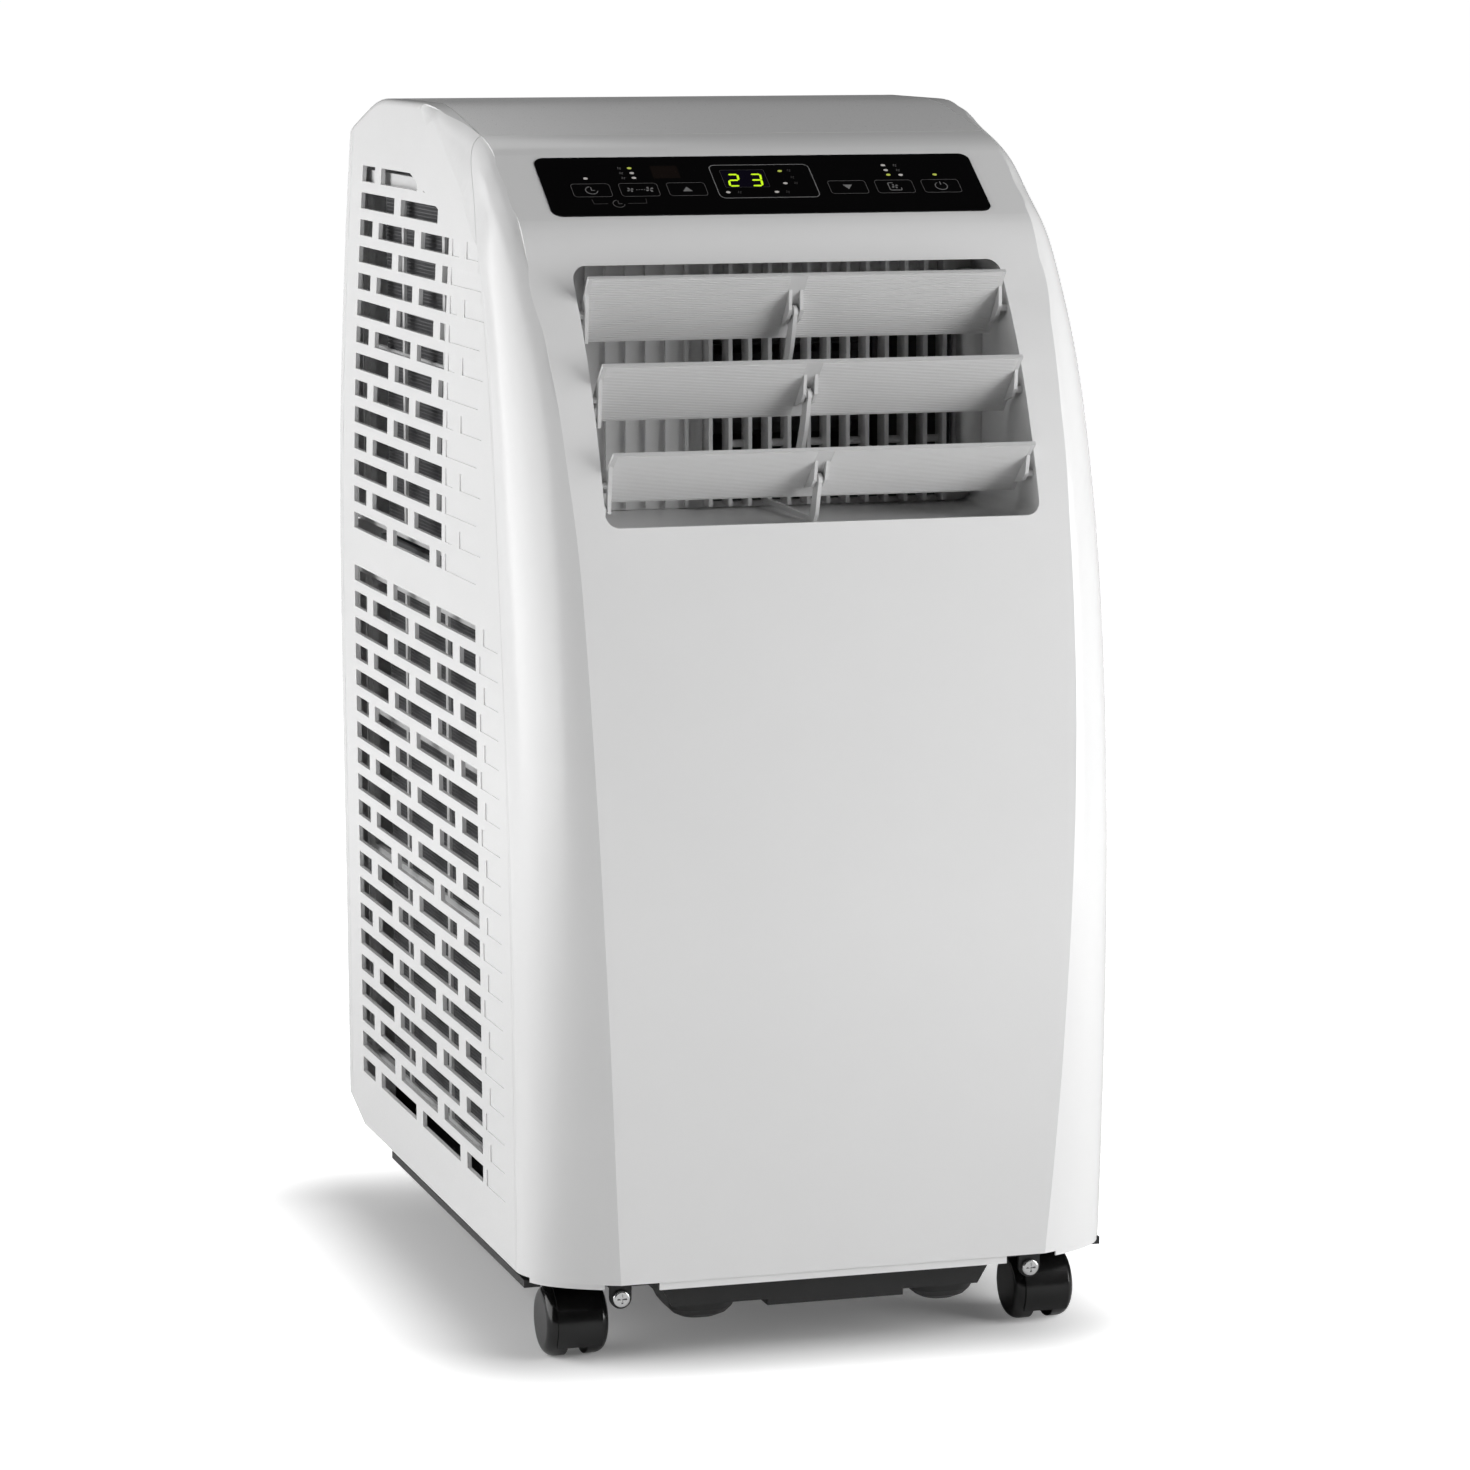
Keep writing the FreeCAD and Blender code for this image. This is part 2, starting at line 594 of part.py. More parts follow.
def blade(name):
    pivot = blade_pivot(name)
    along, inwards = open_frame(name)
    low = pivot - along * PIVOT_ALONG - inwards * PIVOT_BACK
    high = low + along * BLADE_WIDE
    bow = inwards * -0.9

    def plate(x0, x1):
        outer = [low, (low + high) * 0.5 + bow, high]
        inner = [high + inwards * BLADE_THICK, (low + high) * 0.5 + bow + inwards * BLADE_THICK,
                 low + inwards * BLADE_THICK]
        edges = [Part.Arc(*outer).toShape(), Part.LineSegment(outer[2], inner[0]).toShape(),
                 Part.Arc(*inner).toShape(), Part.LineSegment(inner[2], outer[0]).toShape()]
        face = Part.Face(Part.Wire(edges))
        face.translate(Vector(x0, 0, 0))
        return face.extrude(Vector(x1 - x0, 0, 0))

    def bracket(x0, x1, crank):
        points = [low + along * (PIVOT_ALONG - 13) + inwards * 1.2,
                  low + along * (PIVOT_ALONG + 15) + inwards * 1.2]
        points.append(pivot + along * 3.4 + inwards * 2.6)
        if crank:
            points += [pivot + Vector(0, 2.8, -CRANK - 1.5), pivot + Vector(0, -2.8, -CRANK - 1.5)]
        points.append(pivot - along * 3.4 + inwards * 2.6)
        return polygon_x([(p.y, p.z) for p in points], x0, x1)

    pin = [rod((x0, pivot.y, pivot.z), (x1, pivot.y, pivot.z), PIN_R)
           for x0, x1 in ((-BLADE_HALF - 5.9, -BLADE_HALF + 1), (BLADE_HALF - 1, BLADE_HALF + 5.9),
                          (-4.2, 4.2))]
    crank = rod((-BLADE_HALF - 3.2, pivot.y, pivot.z - CRANK),
                (-BLADE_HALF + 1, pivot.y, pivot.z - CRANK), CRANK_R)
    ribs = [bracket(-BLADE_HALF, -BLADE_HALF + 2, True), bracket(BLADE_HALF - 2, BLADE_HALF, False),
            bracket(2.4, 4.2, False), bracket(-4.2, -2.4, False)]
    return fuse(plate(-BLADE_HALF, BLADE_HALF), *ribs, *pin, crank)


def louvre_link():
    ends = [blade_pivot(name) - Vector(0, 0, CRANK) for name in BLADES]
    x0, x1 = -BLADE_HALF - 2.6, -BLADE_HALF - 1.0
    parts = [rod((x0, p.y, p.z), (x1, p.y, p.z), 3.4) for p in ends]
    for a, b in zip(ends, ends[1:]):
        across = (b - a).normalize().cross(Vector(1, 0, 0)) * 2.6
        ring = [a + across, b + across, b - across, a - across]
        parts.append(polygon_x([(p.y, p.z) for p in ring], x0, x1))
    link = fuse(*parts)
    for p in ends:
        link = link.cut(rod((x0 - 1, p.y, p.z), (x1 + 1, p.y, p.z), CRANK_R + RUN_FIT))
    return link


def louvre_motor():
    pivot = blade_pivot("upper")
    x0 = OUTLET_HALF + DUCT_WALL + 0.2
    y, z = pivot.y + 17, pivot.z - 8
    can = rod((x0, y, z), (x0 + 14, y, z), 11.0)
    hub = rod((x0, pivot.y, pivot.z), (x0 + 5, pivot.y, pivot.z), PIN_R + 0.9)
    arm = box(x0, x0 + 3, pivot.y, y, z - 3, pivot.z + 2)
    socket = rod((x0 - 1, pivot.y, pivot.z), (x0 + 4, pivot.y, pivot.z), PIN_R + RUN_FIT)
    return fuse(can, hub, arm).cut(socket)


def outlet_frame():
    """The duct between the front opening and the guard, with a bearing for each blade pin."""
    outer = outlet_prism(DUCT_WALL, -260, GUARD_Y[1], *DUCT_Z)
    inner = outlet_prism(0, -270, 0, *DUCT_Z)
    duct = outer.cut(inner).common(inner_casing)
    for name in BLADES:
        pivot = blade_pivot(name)
        duct = duct.cut(rod((-140, pivot.y, pivot.z), (140, pivot.y, pivot.z), PIN_R + RUN_FIT))
    return duct


def outlet_guard():
    """Fins in front of the blower."""
    y0, y1 = GUARD_Y
    half = OUTLET_HALF - 0.3
    low, high = DUCT_Z[0] + 0.3, DUCT_Z[1] - 0.3
    plate = outlet_prism(-0.3, y1 - 2.5, y1, *DUCT_Z)
    middle = ((OPEN_BAYS[0] + OPEN_BAYS[1]) / 2, (BAY_Z[0] + BAY_Z[1]) / 2)
    bay = rounded_rect((OPEN_BAYS[1] - OPEN_BAYS[0]) / 2, (BAY_Z[1] - BAY_Z[0]) / 2, 9)
    bay.Placement = Placement(Vector(middle[0], y1 - 5, middle[1]), Rotation(Vector(1, 0, 0), 90))
    plate = plate.cut(bay.extrude(Vector(0, 10, 0)))
    fins = []
    count = int((OPEN_BAYS[1] - FIN_FIRST) / FIN_PITCH) + 1
    for i in range(count):
        x = FIN_FIRST + FIN_PITCH * i
        depth = y0 if x > OPEN_BAYS[0] - 1 else y1 - 5.5
        fins.append(box(x - FIN_THICK / 2, x + FIN_THICK / 2, depth, y1, low + 1.5, high - 1.5))
        if x > OPEN_BAYS[0] - 1 and i % 2 == 1 and i < count - 1:
            fins.append(rod((x, y1 - 4, 508), (x + FIN_PITCH, y1 - 4, 508), 2.2))
    cheek = box(OPEN_BAYS[1] + 2, half, y0 - 6, y1, low + 8, high - 8)
    cheek = cheek.makeFillet(7, [e for e in cheek.Edges if abs(e.BoundBox.XMax - OPEN_BAYS[1] - 2) < 0.01
                                 and e.BoundBox.ZLength > 50 and e.BoundBox.YMax < y0])
    return fuse(plate, cheek, *fins)


def louvre_arms():
    """Arms that run forward from the guard's middle fin to the blades' middle pins."""
    floor = DUCT_Z[0] + 0.3
    arms = []
    for name in BLADES:
        p = blade_pivot(name)
        lowest = name == "lower"
        knee = p + heading(-66) * (26 if lowest else 40)
        back = Vector(0, GUARD_Y[0], floor + 2 if lowest else knee.z - 14)
        leaf = [p + heading(24) * 3.6, knee + heading(24) * 4.5, back + Vector(0, 0, 3), back,
                knee - heading(24) * 4, p + heading(-66) * 20 - heading(24) * 5.5,
                p - heading(24) * 3.6]
        leaf = [(q.y, max(q.z, floor)) for q in leaf]
        arm = fuse(polygon_x(leaf, -1.1, 1.1), rod((-1.1, p.y, p.z), (1.1, p.y, p.z), 3.8))
        arms.append(arm.cut(rod((-2, p.y, p.z), (2, p.y, p.z), PIN_R + RUN_FIT)))
    return group(arms)


# ---------------------------------------------------------------- filters and drains
FILTERS = {"upper": (-44.0, 10.0, 434.0, 655.0), "lower": (-124.0, 10.0, 88.0, 408.0)}
FILTER_BARS = {"upper": (545.0,), "lower": (228.0, 318.0)}
DRAINS = {"upper": (-96.0, 462.0), "lower": (-96.0, 96.0)}
CORD_INLET = (104.0, 110.0)
REAR_SCREWS = [(x, z) for x in (-142.0, 142.0) for z in (84.0, 421.0, 668.0)]


def intake_filter(name):
    """Frame and bars of the filter behind the right side grille."""
    front, bar_y, low, high = FILTERS[name]
    x0, x1 = FILTER_X
    rear = BACK_Y - 0.8
    frame = box(x0, x1, front, rear, low, high).cut(box(0, 200, front + 7, 208, low + 8, high - 8))
    frame = frame.cut(box(0, 200, 222, rear - 4, low + 8, high - 8))
    bars = [box(x0, x1, bar_y - 3, bar_y + 3, low, high), box(x0, x1, 112, 117, low, high)]
    bars += [box(x0, x1, front, 210, z - 2.5, z + 2.5) for z in FILTER_BARS[name]]
    return fuse(frame, *bars)


def drain_plug(name):
    x, z = DRAINS[name]
    stem = rod((x, 226, z), (x, 243.7, z), 5.0)
    flange = rod((x, 243.7, z), (x, 246.0, z), 11.0)
    pull = box(x - 7, x + 7, 246.0, 248.2, z - 1.5, z + 1.5)
    return fuse(stem, flange, pull)


def cord_gland():
    x, z = CORD_INLET
    body = fuse(rod((x, 228, z), (x, BACK_Y, z), 8.0), rod((x, 241.5, z), (x, 245.6, z), 12.0))
    return body.cut(rod((x, 220, z), (x, 260, z), 4.25))


def exhaust_collar():
    tube_part = tube((0, 205, EXHAUST_Z), (0, BACK_Y, EXHAUST_Z), EXHAUST_R + 3, EXHAUST_R)
    flange = box(-84, 84, 205, 208, EXHAUST_Z - 80, EXHAUST_Z + 80)
    flange = flange.cut(rod((0, 200, EXHAUST_Z), (0, 210, EXHAUST_Z), EXHAUST_R))
    return fuse(tube_part, flange)


# ---------------------------------------------------------------- air and cooling system
def fan_wheel(axis, radius, x0, x1, blades):
    """Forward-curved centrifugal wheel that turns about X."""
    y, z = axis
    hub = (x0 + x1) / 2
    back = rod((hub - 1.5, y, z), (hub + 1.5, y, z), radius)
    boss = rod((hub - 12, y, z), (hub + 12, y, z), 9)
    rings = [tube((a, y, z), (a + 3, y, z), radius, radius - 9) for a in (x0, x1 - 3)]
    vanes = []
    for i in range(blades):
        vane = box(x0 + 1, x1 - 1, y + radius - 8.6, y + radius - 0.6, z - 0.6, z + 0.6)
        vane.rotate(Vector(0, y + radius - 5, z), Vector(1, 0, 0), 32)
        vane.rotate(Vector(0, y, z), Vector(1, 0, 0), 360 * i / blades)
        vanes.append(vane)
    wheel = fuse(back, boss, *rings, *vanes)
    return wheel.cut(rod((x0 - 1, y, z), (x1 + 1, y, z), 4.0 + RUN_FIT))


def fan_housing(axis, scroll, x0, x1, duct, mouth, shaft_side):
    """Scroll with an inlet hole in each cheek and a duct, given by its (y, z) outline."""
    y, z = axis
    whole = fuse(rod((x0, y, z), (x1, y, z), scroll), polygon_x(duct, x0, x1))
    hollow = fuse(rod((x0 + 2, y, z), (x1 - 2, y, z), scroll - 2), polygon_x(mouth, x0 + 2, x1 - 2))
    inlet = rod((x0 - 1, y, z), (x1 + 1, y, z), scroll * 0.58)
    spider = box(min(shaft_side, shaft_side + 2), max(shaft_side, shaft_side + 2), y - 3, y + 3,
                 z - scroll * 0.6, z + scroll * 0.6)
    spider = spider.fuse(rod((shaft_side, y, z), (shaft_side + 2, y, z), 8))
    spider = spider.cut(rod((shaft_side - 1, y, z), (shaft_side + 3, y, z), 4.0 + RUN_FIT))
    return whole.cut(hollow).cut(inlet).fuse(spider).removeSplitter()


def fan_motor(axis, x0, x1, radius, shaft_end):
    y, z = axis
    return fuse(rod((x0, y, z), (x1, y, z), radius), rod(((x0 + x1) / 2, y, z), (shaft_end, y, z), 4.0))


def upright_can(x, y, z0, z1, radius):
    can = rod((x, y, z0), (x, y, z1), radius)
    return can.makeFillet(radius * 0.45, [e for e in can.Edges if e.Length > radius and len(e.Vertexes) == 1])


def coil(front, rear, low, high, joined):
    x0, x1 = COIL_X
    legs = [box(-x1, -x0, front, rear, low, high), box(x0, x1, front, rear, low, high)]
    if joined:
        legs.append(box(-x0, x0, rear - (x1 - x0), rear, low, high))
        return fuse(*legs)
    header = fuse(rod((-x0, rear - 7, high - 12), (x0, rear - 7, high - 12), 4.0), *legs)
    return header


def bent_pipe(points, radius, bend):
    """Pipe along straight runs joined by arcs."""
    points = [Vector(*p) for p in points]
    edges = []
    start = points[0]
    for before, corner, after in zip(points, points[1:], points[2:]):
        a = (before - corner).normalize()
        b = (after - corner).normalize()
        half = a.getAngle(b) / 2
        cut = bend / math.tan(half)
        first, last = corner + a * cut, corner + b * cut
        centre = corner + (a + b).normalize() * (bend / math.sin(half))
        middle = centre + (corner - centre).normalize() * bend
        edges.append(Part.LineSegment(start, first).toShape())
        edges.append(Part.Arc(first, middle, last).toShape())
        start = last
    edges.append(Part.LineSegment(start, points[-1]).toShape())
    path = Part.Wire(edges)
    along = (points[1] - points[0]).normalize()
    ring = Part.Wire(Part.makeCircle(radius, points[0], along))
    return path.makePipeShell([ring], True, False)


def refrigerant_pipes():
    hot = bent_pipe([(-72, -120, 270), (-72, -120, 300), (-128, -120, 300), (-128, -60, 300),
                     (-128, -60, 340), (-150, -60, 340), (-150, -21, 340)], 4.0, 9.0)
    cold = bent_pipe([(0, -150, 230), (0, -150, 270), (0, -75, 270), (0, -75, 330),
                      (122, -75, 330), (122, -75, 500), (150, -75, 500), (150, -31, 500)], 5.0, 11.0)
    liquid = bent_pipe([(150, -21, 120), (150, -70, 120), (132, -70, 120), (132, -70, 480),
                        (150, -60, 480), (150, -31, 480)], 3.0, 7.0)
    return group([hot, cold, liquid])


def drain_tray():
    tray = box(-157, 157, -60, 205, 414, 428).cut(box(-154, 154, -57, 202, 417, 430))
    return tray


def electrical_box():
    return box(36, 126, -200, -150, 200, 320).cut(box(38.5, 123.5, -197.5, -152.5, 202.5, 317.5))


def main_board():
    board = box(44, 118, -192, -190.4, 210, 310)
    relay = box(54, 78, -190.4, -174, 270, 300)
    choke = rod((98, -190.4, 236), (98, -168, 236), 13)
    return fuse(board, relay, choke)


# ---------------------------------------------------------------- casters and screws
def across(x, half, y, z, radius):
    """Cylinder along X about (y, z), reaching half to each side of x."""
    return rod((x - half, y, z), (x + half, y, z), radius)


def caster_housing(x, y):
    """Stem, hood and axle; the wheels trail in front of the stem."""
    hub_y = y - TRAIL
    web = across(x, WHEEL_IN - 0.5, hub_y, WHEEL_R, HOOD_R)
    shell = across(x, HOOD_HALF, hub_y, WHEEL_R, HOOD_R)
    shell = shell.cut(across(x, HOOD_HALF + 1, hub_y, WHEEL_R, HOOD_R - 1.4))
    hood = web.fuse(shell).cut(box(x - 30, x + 30, hub_y - 30, hub_y + 30, -5, HOOD_FOOT))
    collar = rod((x, y, WHEEL_R + 10), (x, y, 49.4), 7.5)
    collar = collar.cut(across(x, 30, hub_y, WHEEL_R, HOOD_R - 0.7))
    stem = rod((x, y, WHEEL_R + 10), (x, y, 66), STEM_R)
    axle = across(x, WHEEL_IN + WHEEL_WIDE - 2, hub_y, WHEEL_R, AXLE_R)
    return fuse(hood, collar, stem, axle)


def caster_wheel(x, y, side):
    """Disc with a domed outer edge, on one side of its caster."""
    hub_y = y - TRAIL
    x0, x1 = x + side * WHEEL_IN, x + side * (WHEEL_IN + WHEEL_WIDE)
    wheel = rod((x0, hub_y, WHEEL_R), (x1, hub_y, WHEEL_R), WHEEL_R)
    outer_rim = [e for e in wheel.Edges if e.Length > 100 and abs(e.BoundBox.XMax - x1) < 0.1]
    wheel = wheel.makeFillet(6.5, outer_rim)
    return wheel.cut(rod((x0 - side, hub_y, WHEEL_R), (x1 - side * 1.5, hub_y, WHEEL_R),
                         AXLE_R + RUN_FIT))


def pan_head_screw(x, y, z, facing, shank):
    """Cross-recessed screw along Y; facing is -1 for a head that looks to the front."""
    head = rod((x, y, z), (x, y + facing * 2.6, z), 5.0)
    head = head.makeFillet(1.5, [e for e in head.Edges if len(e.Vertexes) == 1
                                 and abs(e.BoundBox.YMin - (y + facing * 2.6)) < 0.01])
    y0, y1 = sorted((y + facing * 1.2, y + facing * 3))
    cross = fuse(box(x - 2.8, x + 2.8, y0, y1, z - 0.6, z + 0.6),
                 box(x - 0.6, x + 0.6, y0, y1, z - 2.8, z + 2.8))
    return fuse(head.cut(cross), rod((x, y, z), (x, y - facing * shank, z), 1.7))


def flush_screw(x, z):
    y = BACK_Y - 1.75
    head = rod((x, y, z), (x, y + 1.6, z), 4.2)
    cross = fuse(box(x - 2.6, x + 2.6, y + 0.7, y + 3, z - 0.5, z + 0.5),
                 box(x - 0.5, x + 0.5, y + 0.7, y + 3, z - 2.6, z + 2.6))
    return fuse(head.cut(cross), rod((x, y, z), (x, y - 11, z), 1.7))


def casing_screws():
    x, y, z = TAB
    front = [pan_head_screw(side * x, y - 1.55, z, -1, 5) for side in (-1, 1)]
    return group(front + [flush_screw(x, z) for x, z in REAR_SCREWS])


# ---------------------------------------------------------------- assembly
inner_casing = casing_solid(SKIN, True)
casing = casing_solid(0).cut(inner_casing)

nodes["front_shell"] = front_shell(casing)
nodes["top_cover"] = top_cover(casing)
nodes["right_side_panel"] = right_side_panel(casing)
nodes["left_side_panel"] = mirror_x(nodes["right_side_panel"])
nodes["rear_shell"] = rear_shell(casing)
nodes["base_pan"] = base_pan()
nodes["underside_skids"] = underside_skids()

nodes["control_overlay"] = control_overlay()
nodes["display_window"] = display_window()
nodes["display_board"] = display_board()
for key_name, key_place in key_places().items():
    nodes["key_" + key_name] = key(key_place)

nodes["outlet_frame"] = outlet_frame()
nodes["outlet_guard"] = outlet_guard()
nodes["louvre_arms"] = louvre_arms()
for blade_name in BLADES:
    nodes["louvre_blade_" + blade_name] = blade(blade_name)
nodes["louvre_link"] = louvre_link()
nodes["louvre_motor"] = louvre_motor()

for filter_name in FILTERS:
    nodes["filter_right_" + filter_name] = intake_filter(filter_name)
    nodes["filter_left_" + filter_name] = mirror_x(nodes["filter_right_" + filter_name])
    nodes["drain_plug_" + filter_name] = drain_plug(filter_name)
nodes["cord_gland"] = cord_gland()
nodes["exhaust_collar"] = exhaust_collar()

nodes["room_fan_wheel"] = fan_wheel(UPPER_FAN, 62, -20, 100, 32)
nodes["room_fan_housing"] = fan_housing(
    UPPER_FAN, 72, -36, 116, [(55, 600), (-97.5, 602), (-97.5, 472), (55, 489)],
    [(55, 598), (-98, 600), (-98, 474), (55, 491)], 114)
nodes["room_fan_motor"] = fan_motor(UPPER_FAN, -110, -38, 34, 118)
nodes["exhaust_fan_wheel"] = fan_wheel(LOWER_FAN, 78, -52, 52, 36)
nodes["exhaust_fan_housing"] = fan_housing(
    LOWER_FAN, 90, -64, 64, [(85, 305), (150, 350), (204.8, 350), (204.8, 236), (170, 230)],
    [(85, 303), (150, 348), (206, 348), (206, 238), (168, 232)], -64)
nodes["exhaust_fan_motor"] = fan_motor(LOWER_FAN, 66, 128, 38, -66)

nodes["compressor"] = fuse(upright_can(-72, -120, 72, 270, 56),
                           box(-127, -17, -175, -65, 68, 72.5),
                           *[rod((x, y, PAN_Z + 3), (x, y, 68), 9)
                             for x, y in ((-118, -166), (-26, -166), (-72, -74))])
nodes["accumulator"] = upright_can(0, -150, 96, 230, 22)
nodes["condenser_coil"] = coil(-20, COIL_REAR, 92, 406, False)
nodes["evaporator_coil"] = coil(-30, COIL_REAR, 434, 645, True)
nodes["refrigerant_pipes"] = refrigerant_pipes()
nodes["drain_tray"] = drain_tray()
nodes["electrical_box"] = electrical_box()
nodes["main_board"] = main_board()
nodes["run_capacitor"] = upright_can(84, -130, 100, 185, 20)

for end, (caster_x, caster_y) in CASTERS.items():
    for hand, side in (("left", -1), ("right", 1)):
        name = f"{end}_{hand}"
        nodes[f"caster_{name}"] = caster_housing(side * caster_x, caster_y)
        nodes[f"wheel_{name}_inner"] = caster_wheel(side * caster_x, caster_y, -side)
        nodes[f"wheel_{name}_outer"] = caster_wheel(side * caster_x, caster_y, side)
nodes["casing_screws"] = casing_screws()

os.makedirs("parts", exist_ok=True)
for node_name, solid in nodes.items():
    solid.exportStep(f"parts/{node_name}.step")
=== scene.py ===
"""Looks of the portable air conditioner: finishes, printed panel, louvre ribs, filter nets, studio."""

import json
import math

import bpy
import numpy as np
from mathutils import Matrix, Vector


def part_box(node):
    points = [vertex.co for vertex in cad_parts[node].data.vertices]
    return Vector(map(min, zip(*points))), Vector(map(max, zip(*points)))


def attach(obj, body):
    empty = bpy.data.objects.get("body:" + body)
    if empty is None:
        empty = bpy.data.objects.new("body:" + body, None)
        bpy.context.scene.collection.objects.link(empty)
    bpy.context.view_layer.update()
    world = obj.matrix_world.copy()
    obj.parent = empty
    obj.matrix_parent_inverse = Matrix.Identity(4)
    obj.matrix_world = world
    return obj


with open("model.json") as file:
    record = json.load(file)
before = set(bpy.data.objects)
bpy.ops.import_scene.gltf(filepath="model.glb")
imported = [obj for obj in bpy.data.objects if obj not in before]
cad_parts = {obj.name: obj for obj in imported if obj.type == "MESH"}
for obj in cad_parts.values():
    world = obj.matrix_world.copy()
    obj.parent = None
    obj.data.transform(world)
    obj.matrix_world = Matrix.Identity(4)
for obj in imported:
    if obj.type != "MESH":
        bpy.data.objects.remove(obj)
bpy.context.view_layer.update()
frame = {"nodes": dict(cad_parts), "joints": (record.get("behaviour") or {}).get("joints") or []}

MM = 0.001
JOINTS = {joint["name"]: joint for joint in frame["joints"]}

# ---------------------------------------------------------------- camera and studio
CAMERA_AT = (-0.863, -2.8957, 0.7801)
CAMERA_YAW = 16.83          # from +Y towards +X, degrees
CAMERA_PITCH = 8.61         # downwards
CAMERA_LENS = 124.45
SENSOR_WIDE = 36.0
CLIP_END = 1000.0

# Soft boxes: where they stand, width and height, and strength in watts. They aim at AIM.
AIM = (0.0, 0.0, 0.42)
SOFT_BOXES = {
    "left": ((-1.9, 0.25, 0.95), (2.4, 1.9), 38.5),
    "front_right": ((2.0, -1.5, 1.0), (1.6, 2.0), 64.0),
    "rear_top": ((-0.5, 1.9, 2.3), (2.4, 1.4), 10.7),
}
SKY = 0.02                  # what the white surroundings give off; the camera sees them as white
FLOOR_GLOW = 0.385          # light from the lit floor further off
GLOW_RADII = (0.7, 2.2)
FLOOR_HALF = 300.0
FLOOR_TINTS = ((0.90, 0.90, 0.90), (0.92, 0.92, 0.92))
FLOOR_CELL = 0.05
PAINTED_SHADOW_GLOW = (0.10, 1.0)   # camera-seen glow: a little inside a painted shadow (painted light), white around it
# Painted shadow: a box around the footprint, set off to the left, where the camera-seen glow stays low
# so the floor stays dark; outside it the glow paints the floor white.
SHADOW_MIDDLE = (-0.03, 0.01)
SHADOW_HALF = (0.135, 0.195)
SHADOW_FADE = 0.14          # the painted shadow fades out over this distance, metres


# ---------------------------------------------------------------- node helpers
def start_material(name):
    material = bpy.data.materials.new(name)
    material.use_nodes = True
    tree = material.node_tree
    return material, tree, tree.nodes["Principled BSDF"]


def node(tree, kind, **settings):
    made = tree.nodes.new("ShaderNode" + kind)
    for key, value in settings.items():
        setattr(made, key, value)
    return made


def noise(tree, cell, detail=2.0):
    """Noise in the piece's own space with cells about this many metres wide."""
    place = node(tree, "TexCoord")
    made = node(tree, "TexNoise")
    made.inputs["Scale"].default_value = 1.0 / cell
    made.inputs["Detail"].default_value = detail
    tree.links.new(place.outputs["Object"], made.inputs["Vector"])
    return made.outputs["Fac"]


def remap(tree, value, source, target, curve="LINEAR"):
    """Takes the value from the source range to the target range, held at its ends."""
    made = node(tree, "MapRange", interpolation_type=curve)
    sockets = ("From Min", "From Max", "To Min", "To Max")
    for socket, number in zip(sockets, (*source, *target)):
        made.inputs[socket].default_value = number
    tree.links.new(value, made.inputs["Value"])
    return made.outputs["Result"]


def blend_colours(tree, factor, first, second):
    made = node(tree, "Mix", data_type="RGBA")
    colours = {"A": (*first, 1), "B": (*second, 1)}
    for socket in made.inputs:
        if socket.type == "RGBA":
            socket.default_value = colours[socket.name]
    tree.links.new(factor, made.inputs["Factor"])
    return next(s for s in made.outputs if s.type == "RGBA")


NOISE_SPAN = (0.3, 0.7)     # the part of a noise's values that is used
MOTTLE_CELL = 0.09
GRAIN_DETAIL = 3.0
RELIEF_DEPTH = 0.0004
LAMP_CELL = 0.002
LAMP_ROUGH = 0.4
LAMP_DIM = 0.85             # the darker parts of a lamp, of its full colour


def moulded(name, colour, rough, mottle=0.03, spread=0.03, grain=0.0009, bump=0.03, specular=0.5,
            metal=0.0):
    """Plastic or metal: slow mottle in the colour, fine grain in the roughness and the bump."""
    material, tree, shader = start_material(name)
    slow = remap(tree, noise(tree, MOTTLE_CELL), NOISE_SPAN, (0, 1))
    darker = [c * (1 - mottle) for c in colour]
    lighter = [min(1, c * (1 + mottle)) for c in colour]
    tree.links.new(blend_colours(tree, slow, darker, lighter), shader.inputs["Base Color"])
    fine = noise(tree, grain, GRAIN_DETAIL)
    roughness = remap(tree, fine, NOISE_SPAN, (rough - spread, rough + spread))
    tree.links.new(roughness, shader.inputs["Roughness"])
    relief = node(tree, "Bump")
    relief.inputs["Strength"].default_value = bump
    relief.inputs["Distance"].default_value = RELIEF_DEPTH
    tree.links.new(fine, relief.inputs["Height"])
    tree.links.new(relief.outputs["Normal"], shader.inputs["Normal"])
    shader.inputs["Specular IOR Level"].default_value = specular
    shader.inputs["Metallic"].default_value = metal
    return material


def glowing(name, colour, strength):
    """Lit segments and lamps, and unlit lamps with a painted glow, a little uneven across each."""
    material, tree, shader = start_material(name)
    uneven = remap(tree, noise(tree, LAMP_CELL), NOISE_SPAN, (0, 1))
    dim = [c * LAMP_DIM for c in colour]
    lit = blend_colours(tree, uneven, dim, colour)
    tree.links.new(lit, shader.inputs["Base Color"])
    tree.links.new(lit, shader.inputs["Emission Color"])
    shader.inputs["Emission Strength"].default_value = strength
    shader.inputs["Roughness"].default_value = LAMP_ROUGH
    return material


